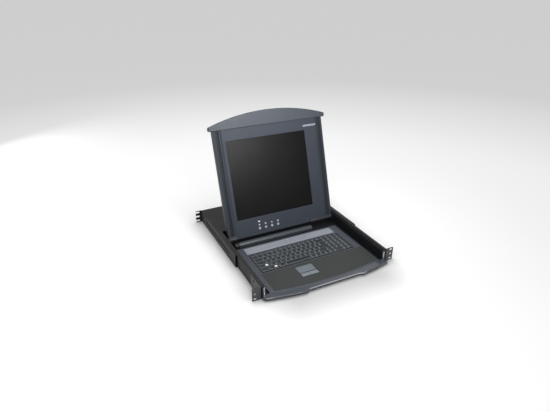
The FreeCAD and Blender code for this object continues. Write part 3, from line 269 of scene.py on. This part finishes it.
def banded(material, inner, outer, colour, soft):
    """Gives a strip on both sides, between two distances from the middle plane, its own colour."""
    tree = material.node_tree
    shader = tree.nodes["Principled BSDF"]
    before = shader.inputs["Base Color"].links[0].from_socket
    coords = add(tree, "TexCoord")
    split = add(tree, "SeparateXYZ")
    join(tree, coords, "Object", split, 0)
    side = add(tree, "Math", operation="ABSOLUTE")
    join(tree, split, "X", side, 0)
    start = remap(tree, side, "Value", inner - soft, inner + soft, 0.0, 1.0)
    stop = remap(tree, side, "Value", outer - soft, outer + soft, 1.0, 0.0)
    strip = add(tree, "Mix", data_type="RGBA")
    join(tree, multiply(tree, start, "Result", stop, "Result"), "Value", strip, 0)
    tree.links.new(before, strip.inputs[MIX_A])
    strip.inputs[MIX_B].default_value = linear(*colour)
    join(tree, strip, MIX_OUT, shader, "Base Color")


bezel = finish("bezel_moulding", (52, 57, 66), 0.42, grain=1600, depth=0.00003, mottle=0.05,
               specular=0.2)
# The darker strip over each groove and the bevel beside it is painted shade.
banded(bezel, *GROOVE_SHADE_BAND, (33, 36, 41), 0.0015)
banded(bezel, *SIDE_WALL, (20, 21, 23), 0.0003)
OWN_FINISH = {
    "lid_bezel": bezel,
    "name_plate": finish("plate_paint", (128, 133, 144), 0.38, mottle=0.03, metallic=0.2),
    "upper_handle": finish("arch_moulding", (61, 66, 74), 0.42, grain=1600, depth=0.00003,
                           mottle=0.05, specular=0.3),
    "keyboard_deck": finish("deck_moulding", (70, 74, 81), 0.42, grain=1600, depth=0.00003,
                            mottle=0.05),
    "lid_back_cover": finish("back_cover_black", (30, 32, 35), 0.45, grain=1100, depth=0.00005),
    "cover_bar": finish("bar_moulding", (60, 65, 70), 0.36, grain=1600, depth=0.00002, mottle=0.04),
    # The plates' strong lighter edge line is a painted highlight.
    "end_plates": finish("plate_coat", (26, 27, 29), 0.40, scuff_and_highlight=0.9),
}
for knuckle in ("hinge_knuckle_left", "hinge_knuckle_right"):
    OWN_FINISH[knuckle] = finish(knuckle + "_moulding", (42, 45, 53), 0.42, grain=1600,
                                 depth=0.00003)
for button in ("touchpad_button_left", "touchpad_button_right"):
    OWN_FINISH[button] = finish(button + "_moulding", (124, 132, 139), 0.36, grain=1800,
                                depth=0.00001, mottle=0.03)
for part in frame["record"]["subparts"]:
    owner = nodes[part["node"]]
    owner.data.materials.clear()
    owner.data.materials.append(OWN_FINISH.get(part["node"], FINISHES[part["material_slot"]]))

# %% [markdown]
# ## New pieces
# Every new piece is shaped in a bmesh, which is Blender's editable mesh. One helper turns it into
# an object, lets it ride on its CAD body and notes the finish it takes. A second one rounds
# edges, and states the bevel's settings in one place, because the operator's own defaults differ
# from the editor's.

# %% New piece helpers
def new_piece(name, bm, material, body=None, more=()):
    """An object made from a bmesh; a face's material index picks among the material and more."""
    mesh = bpy.data.meshes.new(name)
    bm.to_mesh(mesh)
    bm.free()
    piece = bpy.data.objects.new(name, mesh)
    scene.collection.objects.link(piece)
    for each in (material, *more):
        mesh.materials.append(each)
    if body:
        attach(piece, body)
    return piece


def round_edges(bm, edges, offset, segments=2, clamp=False):
    bmesh.ops.bevel(bm, geom=edges, offset=offset, offset_type="OFFSET", segments=segments,
                    profile=0.5, affect="EDGES", material=-1, clamp_overlap=clamp)


def copied(bm, other):
    """Adds one bmesh to another, and returns the vertices that it brought."""
    mesh = bpy.data.meshes.new("copy")
    other.to_mesh(mesh)
    before = len(bm.verts)
    bm.from_mesh(mesh)
    bpy.data.meshes.remove(mesh)
    bm.verts.ensure_lookup_table()
    return bm.verts[before:]


# %% [markdown]
# ## Where the keys are
# A CAD node arrives as loose triangles. A copy of it is merged first, and then each key is an
# island of joined vertices. An island's box says where its cap goes, so no key position is typed
# in here.

# %% Key boxes
def islands(node):
    """Boxes of the separate solids of a CAD node, from left to right."""
    bm = bmesh.new()
    bm.from_mesh(nodes[node].data)
    bmesh.ops.remove_doubles(bm, verts=bm.verts, dist=1e-6)
    waiting, boxes = set(bm.verts), []
    while waiting:
        group, front = [], [waiting.pop()]
        while front:
            vertex = front.pop()
            group.append(vertex.co.copy())
            for edge in vertex.link_edges:
                other = edge.other_vert(vertex)
                if other in waiting:
                    waiting.discard(other)
                    front.append(other)
        low = Vector([min(point[axis] for point in group) for axis in range(3)])
        high = Vector([max(point[axis] for point in group) for axis in range(3)])
        # A key's post reaches further down than its cap, so the foot is read at the left side.
        foot = min(point.z for point in group if point.x < low.x + 1e-5)
        boxes.append((Vector((low.x, low.y, foot)), high))
    bm.free()
    return sorted(boxes, key=lambda box: box[0].x)


ROWS = [name for name in sorted(nodes) if name.startswith("key_row_")]
keys = {name: islands(name) for name in ROWS}
print("keys:", {name: len(boxes) for name, boxes in keys.items()})

# %% [markdown]
# ## Keycaps
# A keycap is a tapered block with round corners, a soft rim and a shallow dish for the fingertip.
# A cube is scaled to the key's box, its top is drawn in, the upright edges and the rim are
# bevelled, and the top face is inset and sunk. One small recipe makes every key, wide or narrow.
# The skirts of these caps are painted light: lighter than the dish, as if lit, and lightest at the
# sides, as if light fell from the side. So each face picks its material by the way it points.

# %% Keycaps
TAPER, DISH, DISH_RIM = 0.0019, 0.00035, 0.0010
CORNER, CREST = 0.0012, 0.0006
# The two skirt greys are painted light, not the caps' own colour.
skirt_painted_lit = finish("key_side_skirt_painted_lit", (132, 138, 140), 0.36, grain=1500, depth=0.00002, scuff_and_highlight=0.3)
skirt_painted_half_lit = finish("key_front_skirt_painted_half_lit", (66, 71, 75), 0.36, grain=1500, depth=0.00002, scuff_and_highlight=0.3)


def rise(edge):
    """How much higher one end of an edge is than the other."""
    return abs(edge.verts[0].co.z - edge.verts[1].co.z)


def keycap(low, high):
    bm = bmesh.new()
    size, middle = high - low, (high + low) / 2
    cube = bmesh.ops.create_cube(bm, size=1)["verts"]
    bmesh.ops.scale(bm, verts=cube, vec=size)
    crown = [vertex for vertex in cube if vertex.co.z > 0]
    bmesh.ops.scale(bm, verts=crown, vec=(1 - 2 * TAPER / size.x, 1 - 2 * TAPER / size.y, 1))
    round_edges(bm, [edge for edge in bm.edges if rise(edge) > size.z / 2], CORNER)
    crest = [edge for edge in bm.edges if min(v.co.z for v in edge.verts) > size.z * 0.49]
    round_edges(bm, crest, CREST)
    top = max(bm.faces, key=lambda face: (round(face.calc_center_median().z, 5), face.calc_area()))
    bmesh.ops.inset_region(bm, faces=[top], thickness=DISH_RIM, depth=-DISH)
    bm.normal_update()
    for face in bm.faces:
        sideways = abs(face.normal.x) > abs(face.normal.y)
        # Up faces keep the key's own colour, side faces take the painted highlight, and front and rear faces take
        # the dimmer painted light.
        face.material_index = 0 if face.normal.z > 0.7 else 1 if sideways else 2
    bmesh.ops.translate(bm, verts=bm.verts, vec=middle)
    return bm


for row, boxes in keys.items():
    caps = bmesh.new()
    for low, high in boxes:
        cap = keycap(low, high)
        copied(caps, cap)
        cap.free()
    print(row, "has", len(caps.faces), "faces")
    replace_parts(new_piece("keycaps_" + row[4:], caps, FINISHES["key_plastic"], row,
                          (skirt_painted_lit, skirt_painted_half_lit)), row)

# %% [markdown]
# ## Printed legends
# Letters and digits are pad printed on the caps. Each character is a text curve that becomes a
# mesh, stands three hundredths of a millimetre proud, and is then copied to its key. Wide keys
# with long words on them get a short dash, because words that small can't be read anyway.

# %% Legends
PRINT_PROUD = 0.00003
LETTER, WORD, FUNCTION_WORD = 0.0042, 0.0030, 0.0040
FROM_LEFT, FROM_REAR = 0.0052, 0.0062
legend_print = finish("legend_print", (150, 155, 160), 0.55, depth=0.0, mottle=0.03, scuff_and_highlight=0.0)
LEGENDS = {
    "key_row_1": ["-"] * 4 + [""] + ["-"] * 3 + ["<", "v", "0", ".", "-"],
    "key_row_2": ["-"] + list("ZXCVBNM,./") + ["-", "^"] + list("123-"),
    "key_row_3": ["-"] + list("ASDFGHJKL;'") + ["-"] + list("456-"),
    "key_row_4": ["-"] + list("QWERTYUIOP[]") + ["-"] + list("789+"),
    "key_row_5": list("`1234567890-=") + ["-"] + ["-"] + list("/*-"),
    "key_row_function": ["x"] + ["F%d" % number for number in range(1, 13)] + ["-"] * 6,
}
glyphs = {}


def glyph(text, size, swell=0.0):
    """A bmesh of a short text, lying flat and centred on the origin. Swell makes it bolder."""
    key = (text, size, swell)
    if key not in glyphs:
        curve = bpy.data.curves.new("glyph", "FONT")
        curve.body, curve.size, curve.offset = text, size, swell
        curve.extrude, curve.resolution_u = PRINT_PROUD, 2
        holder = bpy.data.objects.new("glyph", curve)
        scene.collection.objects.link(holder)
        view = bpy.context.evaluated_depsgraph_get()
        mesh = bpy.data.meshes.new_from_object(holder.evaluated_get(view))
        bpy.data.objects.remove(holder)
        bm = bmesh.new()
        bm.from_mesh(mesh)
        bmesh.ops.remove_doubles(bm, verts=bm.verts, dist=1e-7)
        bmesh.ops.recalc_face_normals(bm, faces=bm.faces)
        across = [vertex.co.x for vertex in bm.verts]
        up = [vertex.co.y for vertex in bm.verts]
        bmesh.ops.translate(bm, verts=bm.verts,
                            vec=(-(min(across) + max(across)) / 2, -(min(up) + max(up)) / 2, 0))
        glyphs[key] = bm
    return glyphs[key]


for row, boxes in keys.items():
    prints = bmesh.new()
    for (low, high), text in zip(boxes, LEGENDS[row]):
        if not text:
            continue
        size = WORD if len(text) > 1 else LETTER
        spot = Vector((low.x + FROM_LEFT, high.y - FROM_REAR, high.z - DISH))
        if row == "key_row_function":
            spot = Vector(((low.x + high.x) / 2, (low.y + high.y) / 2, high.z - DISH))
            size = FUNCTION_WORD
        bmesh.ops.translate(prints, verts=copied(prints, glyph(text, size)), vec=spot)
    new_piece("legends_" + row[4:], prints, legend_print, row)
print("characters made:", len(glyphs))

# %% [markdown]
# ## Small raised pieces
# Thin frames and bars are blocks whose edges are bevelled, because a perfectly sharp edge never
# catches the light. The helper below adds one such block to a bmesh.

# %% Bevelled block
def block(bm, low, high, edge=0.0002):
    part = bmesh.new()
    cube = bmesh.ops.create_cube(part, size=1)["verts"]
    low, high = Vector(low), Vector(high)
    bmesh.ops.scale(part, verts=cube, vec=high - low)
    bmesh.ops.translate(part, verts=cube, vec=(high + low) / 2)
    round_edges(part, part.edges[:], edge)
    copied(bm, part)
    part.free()


def rim(bm, low, high, width, height):
    """A flat rectangular frame of four bars, outside the given rectangle."""
    left, front, right, rear = low[0] - width, low[1] - width, high[0] + width, high[1] + width
    foot, top = low[2], low[2] + height
    block(bm, (left, front, foot), (right, low[1], top))
    block(bm, (left, high[1], foot), (right, rear, top))
    block(bm, (left, low[1], foot), (low[0], high[1], top))
    block(bm, (high[0], low[1], foot), (right, high[1], top))


# %% [markdown]
# ## Front lip
# The lip is the drawer's handle, so its upper rim is polished by hands and rounder than the rest.
# The CAD lip only has a chamfer there. A merged copy of it gets both edges of that chamfer
# bevelled, which rounds the rim, and a glossy coat draws one bright line along it. The rim of the
# recess is painted light grey, a painted highlight, and the upright wall under the rim is painted
# darker, a painted shade.

# %% Front lip
GRIP_LEFT, GRIP_RIGHT, GRIP_REAR = -0.058, 0.112, -0.02
lip = bmesh.new()
lip.from_mesh(nodes["front_handle"].data)
bmesh.ops.remove_doubles(lip, verts=lip.verts, dist=1e-6)
bmesh.ops.dissolve_limit(lip, angle_limit=radians(0.5), verts=lip.verts, edges=lip.edges)
lip.normal_update()
slopes = [face for face in lip.faces if 0.5 < face.normal.z < 0.9 and face.normal.y < 0.3]
rim_edges = {edge for face in slopes for edge in face.edges if rise(edge) < 1e-5}
print("rim edges:", len(rim_edges), "on", len(slopes), "slopes")
round_edges(lip, list(rim_edges), 0.0012, 3, clamp=True)
lip.normal_update()
for piece_face in lip.faces:
    piece_face.smooth = 0.05 < piece_face.normal.z < 0.98
    middle = piece_face.calc_center_median()
    in_grip = (piece_face.smooth and GRIP_LEFT < middle.x < GRIP_RIGHT
               and middle.y < GRIP_REAR)
    # Index 1 paints the upright walls darker as painted shade; index 2 gives the recess rim a painted highlight.
    piece_face.material_index = 2 if in_grip else 1 if piece_face.normal.z < 0.2 else 0
lip_gloss = finish("lip_gloss", (66, 71, 79), 0.30, grain=1600, depth=0.00001, mottle=0.03,
                   coat=0.9)
# The darker wall and the light grey rim below are painted shade and a painted highlight.
lip_wall_painted_shade = finish("lip_wall_painted_shade", (30, 33, 37), 0.30, grain=1600, depth=0.00001, mottle=0.03, coat=0.6)
lip_grip_painted_highlight = finish("lip_grip_painted_highlight", (150, 154, 158), 0.30, grain=1600, depth=0.00001)
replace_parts(new_piece("front_lip", lip, lip_gloss, "drawer",
                      (lip_wall_painted_shade, lip_grip_painted_highlight)), "front_handle")

# %% [markdown]
# ## End strips
# Behind each end of the lip stands a dark plate. A bare metal strip lies along its inner edge and
# shows as one bright upright line.

# %% End strips
STRIP_NEAR, STRIP_FAR = 0.2035, 0.2069
bright_metal = finish("bare_metal", (190, 196, 198), 0.30, grain=900, depth=0.00001, metallic=0.7,
                      stretch=(1, 1, 0.05))
plate_low, plate_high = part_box("end_plates")
strips = bmesh.new()
for side in (-1, 1):
    left, right = sorted((side * STRIP_NEAR, side * STRIP_FAR))
    block(strips, (left, plate_low.y - 0.0006, plate_low.z + 0.002),
          (right, plate_low.y - 0.0001, plate_high.z - 0.003), 0.00015)
new_piece("end_strips", strips, bright_metal, "drawer")

# %% [markdown]
# ## Touchpad surround
# The pad and its two buttons sit in a dark rubber frame with a bar between them. It lies on the
# palm rest, just under half a millimetre proud, so that it hides the moulding gap.

# %% Touchpad surround
FRAME_WIDTH, FRAME_HEIGHT, PAD_GAP = 0.0016, 0.00045, 0.0034
rubber = finish("dark_rubber", (26, 28, 32), 0.62, grain=900, depth=0.00003, scuff_and_highlight=0.1)
pad_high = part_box("touchpad")[1]
left_low, left_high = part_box("touchpad_button_left")
right_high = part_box("touchpad_button_right")[1]
palm_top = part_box("palm_rest")[1].z
surround = bmesh.new()
rim(surround, (left_low.x, left_low.y, palm_top), (right_high.x, pad_high.y - 0.005),
    FRAME_WIDTH, FRAME_HEIGHT)
block(surround, (left_low.x, left_high.y - 0.0002, palm_top - 0.001),
      (right_high.x, left_high.y + PAD_GAP, pad_high.z + 0.0003))
new_piece("touchpad_surround", surround, rubber, "drawer")
print("pad is", round((right_high.x - left_low.x) * 1000, 1), "mm wide")

# %% [markdown]
# ## Port strip print
# The bright strip behind the keys has a sunk field with a darker outline. Plain numbers are
# printed in it, one for each computer that can be switched to.

# %% Port strip
PORTS, FIELD_SHARE, NUMBER_SIZE = 16, 0.68, 0.0058
FIELD_LEFT, FIELD_FRONT, FIELD_REAR = 0.009, 0.011, 0.023
strip_low, strip_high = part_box("port_strip")
strip_ink = finish("strip_ink", (104, 108, 116), 0.5, depth=0.0, mottle=0.03, scuff_and_highlight=0.0)
field_low = Vector((strip_low.x + FIELD_LEFT, strip_low.y + FIELD_FRONT, strip_high.z - 0.0001))
field_high = Vector((strip_low.x + (strip_high.x - strip_low.x) * FIELD_SHARE,
                     strip_low.y + FIELD_REAR, 0))
outline = bmesh.new()
rim(outline, field_low, field_high, 0.0009, 0.00022)
pitch = (field_high.x - field_low.x) / PORTS
for number in range(PORTS):
    spot = (field_low.x + (number + 0.5) * pitch, (field_low.y + field_high.y) / 2,
            strip_high.z - 0.00038)
    digits = glyph(str(number + 1), NUMBER_SIZE)
    bmesh.ops.translate(outline, verts=copied(outline, digits), vec=spot)
new_piece("port_numbers", outline, strip_ink, "drawer")
print("port pitch", round(pitch * 1000, 2), "mm")

# %% [markdown]
# ## Marker keys
# Two keys at the lower left carry a bright printed field, as keys for switching between computers
# often do. Each field is a thin rounded block lying in the dish.

# %% Marker keys
# For each one, its row, its number in the row and the middle of its field.
MARKERS = (("key_row_1", 2, -0.1165), ("key_row_2", 0, -0.139))
FIELD_HALF_X, FIELD_HALF_Y = 0.0044, 0.0038
white_print = finish("white_print", (236, 238, 240), 0.5, depth=0.0, mottle=0.02, scuff_and_highlight=0.0)
for row, number, spot_x in MARKERS:
    low, high = keys[row][number]
    level = high.z - DISH
    field = bmesh.new()
    middle_y = (low.y + high.y) / 2
    block(field, (spot_x - FIELD_HALF_X, middle_y - FIELD_HALF_Y, level - 0.0001),
          (spot_x + FIELD_HALF_X, middle_y + FIELD_HALF_Y, level + 0.00012), 0.00008)
    new_piece("marker_" + row[4:], field, white_print, row)

# %% [markdown]
# ## Marks on the lid
# The lid leans back, so its marks are drawn flat first and then placed by one matrix, whose
# columns are the lid's own directions: across, up the face, and out of it. The lean is the
# closing travel of the hinge less a right angle.

# %% Lid marks
MARK_SIZE, MARK_SWELL, MARK_RISE = 0.0105, 0.0003, 0.0125
hinge = next(joint for joint in frame["joints"] if joint["name"] == "lid_hinge")
axis_point = Vector(hinge["pos_m"])
lean = radians(hinge["range_deg"][1] - 90)
lid_place = Matrix.Translation(axis_point) @ Matrix.Rotation(radians(90) - lean, 4, "X")
lid_flat = lid_place.inverted()
face = max((lid_flat @ vertex.co).z for vertex in nodes["lid_bezel"].data.vertices)
marks = bmesh.new()
for number, sign in enumerate(("=", "v", "^", "o"), start=1):
    low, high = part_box("lcd_button_%d" % number)
    spot = lid_flat @ ((low + high) / 2)
    mark = glyph(sign, MARK_SIZE, MARK_SWELL)
    bmesh.ops.translate(marks, verts=copied(marks, mark), vec=(spot.x, spot.y + MARK_RISE, face))
bmesh.ops.transform(marks, matrix=lid_place, verts=marks.verts)
new_piece("button_marks", marks, white_print, "lid")
print("lid leans back by", round(hinge["range_deg"][1] - 90, 1), "degrees, face at",
      round(face * 1000, 2), "mm")

# %% [markdown]
# ## Computer sockets
# Each socket at the rear is a D-shaped metal shell round a coloured insert with three rows of pin
# holes, between two hexagonal posts that take the plug's screws. The holes are not cut: each is a
# flat near-black disc, a painted shade where the hole would be. One socket is made at the origin:
# a box whose upper edge is wider, its rear face inset twice to leave a rim and a sunk insert. Then
# it is copied to every socket of the CAD row, whose widest solids are the blocks behind the panel.

# %% Computer sockets
TO_REAR = Matrix.Rotation(radians(-90), 3, "X")
SHELL, UPPER_SPREAD = Vector((0.016, 0.0046, 0.0078)), 18 / 16
SHELL_CORNER, SHELL_RIM, INSERT_DEPTH, INSERT_HALF = 0.0016, 0.0005, 0.0018, 0.0062
PIN_RADIUS, POST_HOLE_RADIUS, BLOCK_LEAST = 0.00055, 0.0013, 0.02
PIN_STEP, PIN_ROW_STEP, PIN_ROW_SHIFT = 0.0023, 0.0021, 0.0006
POST_FROM_MIDDLE, POST_RADIUS, POST_LENGTH = 0.0125, 0.0026, 0.004
shell_metal = finish("shell_metal", (176, 178, 180), 0.30, grain=900, depth=0.00001, metallic=0.9)
hole_painted_shade = finish("hole_painted_shade", (8, 8, 9), 0.6, depth=0.0, scuff_and_highlight=0.0)
panel_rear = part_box("rear_panel")[1].y
blocks = [box for box in islands("port_sockets") if box[1].x - box[0].x > BLOCK_LEAST]


# Discs stand for holes: flat near-black faces, painted shade where a hole would be.
def disc(bm, place, radius, sides, index):
    """A flat filled ring of points that faces the rear."""
    part = bmesh.new()
    bmesh.ops.create_circle(part, cap_ends=True, segments=sides, radius=radius)
    bmesh.ops.rotate(part, verts=part.verts, matrix=TO_REAR)
    bmesh.ops.translate(part, verts=part.verts, vec=place)
    for part_face in part.faces:
        part_face.material_index = index
    copied(bm, part)
    part.free()


def socket():
    bm = bmesh.new()
    shell = bmesh.ops.create_cube(bm, size=1)["verts"]
    bmesh.ops.scale(bm, verts=shell, vec=SHELL)
    bmesh.ops.translate(bm, verts=shell, vec=(0, SHELL.y / 2, 0))
    upper = [vertex for vertex in shell if vertex.co.z > 0]
    bmesh.ops.scale(bm, verts=upper, vec=(UPPER_SPREAD, 1, 1))
    along = [edge for edge in bm.edges if abs(edge.verts[0].co.y - edge.verts[1].co.y) > 0.004]
    round_edges(bm, along, SHELL_CORNER, 3)
    rear = max(bm.faces, key=lambda item: item.calc_center_median().y)
    bmesh.ops.inset_region(bm, faces=[rear], thickness=SHELL_RIM)
    sunk = bmesh.ops.inset_region(bm, faces=[rear], thickness=0.00005, depth=-INSERT_DEPTH)["faces"]
    rear.material_index = 1
    for item in sunk:
        item.material_index = 0
    floor_y = rear.calc_center_median().y
    for row in range(3):
        for column in range(5):
            across = (column - 2) * PIN_STEP + (row - 1) * PIN_ROW_SHIFT
            spot = (across, floor_y + 0.00003, (row - 1) * PIN_ROW_STEP)
            disc(bm, spot, PIN_RADIUS, 6, 2)
    for side in (-1, 1):
        post = bmesh.new()
        bmesh.ops.create_cone(post, cap_ends=True, segments=6, radius1=POST_RADIUS,
                              radius2=POST_RADIUS, depth=POST_LENGTH)
        bmesh.ops.rotate(post, verts=post.verts, matrix=TO_REAR)
        round_edges(post, post.edges[:], 0.0002, 1)
        place_x = side * POST_FROM_MIDDLE
        bmesh.ops.translate(post, verts=post.verts, vec=(place_x, POST_LENGTH / 2, 0))
        copied(bm, post)
        post.free()
        disc(bm, (place_x, POST_LENGTH + 0.00002, 0), POST_HOLE_RADIUS, 10, 2)
    return bm


one_socket = socket()
sockets = bmesh.new()
for low, high in blocks:
    middle_x = (low.x + high.x) / 2
    bmesh.ops.translate(sockets, verts=copied(sockets, one_socket),
                        vec=(middle_x, panel_rear, 0))
    before = len(sockets.faces)
    block(sockets, (low.x, low.y, -INSERT_HALF), (high.x, panel_rear - 0.0014, INSERT_HALF),
          0.0004)
    sockets.faces.ensure_lookup_table()
    for block_face in sockets.faces[before:]:
        block_face.material_index = 1
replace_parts(new_piece("computer_sockets", sockets, shell_metal, "chassis",
                      (FINISHES["connector"], hole_painted_shade)), "port_sockets")
print("sockets:", len(blocks), "with", len(one_socket.faces), "faces each")

# %% [markdown]
# ## Rear prints
# A plain number stands above each socket, and the two usual signs mark the rocker switch. They
# are drawn flat and then stood up to face the rear, turned about so that they read from behind.

# %% Rear prints
PORT_NUMBER_Z, PORT_NUMBER_SIZE, SIGN_SIZE = 0.0115, 0.0062, 0.0055
stand_up = Matrix.Rotation(radians(180), 4, "Z") @ Matrix.Rotation(radians(90), 4, "X")
rear_prints = bmesh.new()


def rear_print(text, x, z, size):
    place = Matrix.Translation((x, panel_rear, z)) @ stand_up
    bmesh.ops.transform(rear_prints, matrix=place,
                        verts=copied(rear_prints, glyph(text, size, 0.0001)))


for number, (low, high) in enumerate(reversed(blocks), start=1):
    rear_print(str(number), (low.x + high.x) / 2, PORT_NUMBER_Z, PORT_NUMBER_SIZE)
switch_low, switch_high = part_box("power_rocker")
for text, z in (("I", 0.0160), ("O", -0.0160)):
    rear_print(text, (switch_low.x + switch_high.x) / 2, z, SIGN_SIZE)
new_piece("rear_prints", rear_prints, white_print, "chassis")

# %% [markdown]
# ## Studio
# A pale floor under the unit and an even sky around it. The floor keeps the soft shadow. It is
# lifted to nearly white only for the camera and for reflections, so that no light is added to the
# unit, and far behind the lift drops a little, a painted shade like that of a paper sweep where the
# lamps don't reach. The lift fades where the unit stands close over the paper, a painted contact
# shadow, and it fades towards the lip, a painted soft shadow on the paper in front of it. The sky
# is lifted in the same way, so that it meets the paper without a hard line.

# %% Studio
floor_height = cad_box[0][2]
CONTACT_REACH, CONTACT_POWER = 0.15, 2.4
SHADE_MIDDLE, SHADE_HALF, SHADE_REACH = (0.01, 0.10, 0.0), (0.13, 0.145, 0.0), 0.11
NEAR_PAPER, FAR_PAPER, FAR_SHARE = (0.3, 1.2), (1.4, 2.9), 0.76


def seen_directly(tree):
    """One for what the camera, a mirror or a glass sees, and nothing for the light it gives."""
    path = add(tree, "LightPath")
    either = add(tree, "Math", operation="MAXIMUM")
    join(tree, path, "Is Camera Ray", either, 0)
    join(tree, path, "Is Glossy Ray", either, 1)
    seen = add(tree, "Math", operation="MAXIMUM")
    join(tree, either, "Value", seen, 0)
    join(tree, path, "Is Transmission Ray", seen, 1)
    return seen


# The mask of a painted shadow on the floor in front of the lip.
def front_shade(tree, coords):
    """Rises from dark to one with the distance from a rectangle under the front of the unit."""
    centred = add(tree, "Mapping")
    centred.inputs["Location"].default_value = [-value for value in SHADE_MIDDLE]
    join(tree, coords, "Object", centred, "Vector")
    folded = add(tree, "VectorMath", operation="ABSOLUTE")
    join(tree, centred, "Vector", folded, 0)
    beyond = add(tree, "VectorMath", operation="SUBTRACT")
    beyond.inputs[1].default_value = SHADE_HALF
    join(tree, folded, "Vector", beyond, 0)
    outside = add(tree, "VectorMath", operation="MAXIMUM")
    join(tree, beyond, "Vector", outside, 0)
    apart = add(tree, "VectorMath", operation="LENGTH")
    join(tree, outside, "Vector", apart, 0)
    return remap(tree, apart, "Value", 0.0, SHADE_REACH, 0.1, 1.0)


def pale(name, colour, near, far):
    """A matt surface that the camera and mirrors see a little brighter than the light makes it, with
    a painted contact shadow near the unit, a painted shadow in front of the lip and painted
    shade far away.
    """
    material = bpy.data.materials.new(name)
    material.use_nodes = True
    tree = material.node_tree
    tree.nodes.clear()
    matt = add(tree, "BsdfDiffuse")
    matt.inputs["Color"].default_value = (*colour, 1)
    glow = add(tree, "Emission")
    coords = add(tree, "TexCoord")
    away = add(tree, "VectorMath", operation="LENGTH")
    join(tree, coords, "Object", away, 0)
    near_part = remap(tree, away, "Value", *NEAR_PAPER, near, far)
    # Far away the lift drops: a painted shade, as where the lamps don't reach.
    far_part = remap(tree, away, "Value", *FAR_PAPER, 1.0, FAR_SHARE)
    level = multiply(tree, near_part, "Result", far_part, "Result")
    nearby = add(tree, "AmbientOcclusion", samples=8)
    nearby.inputs["Distance"].default_value = CONTACT_REACH
    contact = add(tree, "Math", operation="POWER")
    contact.inputs[1].default_value = CONTACT_POWER
    join(tree, nearby, "AO", contact, 0)
    # Occlusion near the unit turns the lift down, a painted contact shadow.
    open_part = multiply(tree, level, "Value", contact, "Value")
    # The lift is turned down again in front of the lip, a painted soft shadow.
    shaded = multiply(tree, open_part, "Value", front_shade(tree, coords), "Result")
    lift = multiply(tree, shaded, "Value", seen_directly(tree), "Value")
    join(tree, lift, "Value", glow, "Strength")
    total = add(tree, "AddShader")
    join(tree, matt, "BSDF", total, 0)
    join(tree, glow, "Emission", total, 1)
    end = add(tree, "OutputMaterial")
    join(tree, total, "Shader", end, "Surface")
    return material


bm = bmesh.new()
bmesh.ops.create_grid(bm, x_segments=1, y_segments=1, size=60)
bmesh.ops.translate(bm, verts=bm.verts, vec=(0, 0, floor_height))
new_piece("floor", bm, pale("floor_paper", (0.50, 0.50, 0.50), 0.60, 0.66))

# The strength of the sky as a lamp, and what is seen of it.
SKY_LIGHT, SKY_SEEN = 0.24, 0.62
world = bpy.data.worlds.new("sky")
scene.world = world
world.use_nodes = True
sky = world.node_tree
sky.nodes["Background"].inputs["Color"].default_value = (0.97, 0.98, 1.0, 1)
sky_level = remap(sky, seen_directly(sky), "Value", 0.0, 1.0, SKY_LIGHT, SKY_SEEN)
join(sky, sky_level, "Result", sky.nodes["Background"], "Strength")
print("floor at", round(floor_height, 5), "m")

# %% [markdown]
# ## Lamps
# A small soft box close above the lid lights it, and because it is close, the lid grows darker
# towards the hinge. A large one high above lights the keyboard, and one at the left draws the
# sides. The one in front at the right shows in the screen's gloss, brightest at the upper left
# corner, and the one in front at the left shows in the lip's edge. A low one behind lights the
# rear panel. The lamp's spread is how wide it throws its light, and a narrow one gives more of it
# to its aim.

# %% Lamps
def lamp(name, place, aim, size, power, spread=180):
    data = bpy.data.lights.new(name, "AREA")
    data.shape = "RECTANGLE"
    data.size, data.size_y = size
    data.energy = power
    data.spread = radians(spread)
    source = bpy.data.objects.new(name, data)
    source.location = place
    source.rotation_euler = (Vector(aim) - Vector(place)).to_track_quat("-Z", "Y").to_euler()
    source.visible_camera = False
    scene.collection.objects.link(source)


lamp("key_lamp", (0.0, 0.12, 0.68), (0.0, 0.40, 0.38), (0.3, 0.2), 2.35)
lamp("top_lamp", (-0.1, 0.75, 1.5), (0.0, 0.15, 0.0), (0.9, 0.9), 7)
lamp("side_lamp", (-1.4, -0.35, 0.75), (0, 0.2, 0.05), (0.8, 0.8), 5)
lamp("front_lamp", (0.40, -1.45, 0.86), (-0.10, 0.36, 0.30), (0.4, 0.3), 2.2, 70)
lamp("lip_lamp", (-0.28, -1.25, 1.20), (-0.1, 0.0, 0.0), (0.3, 0.3), 4.5)
lamp("back_lamp", (-1.0, 1.7, 0.35), (0, 0.5, 0.08), (0.6, 0.4), 3)
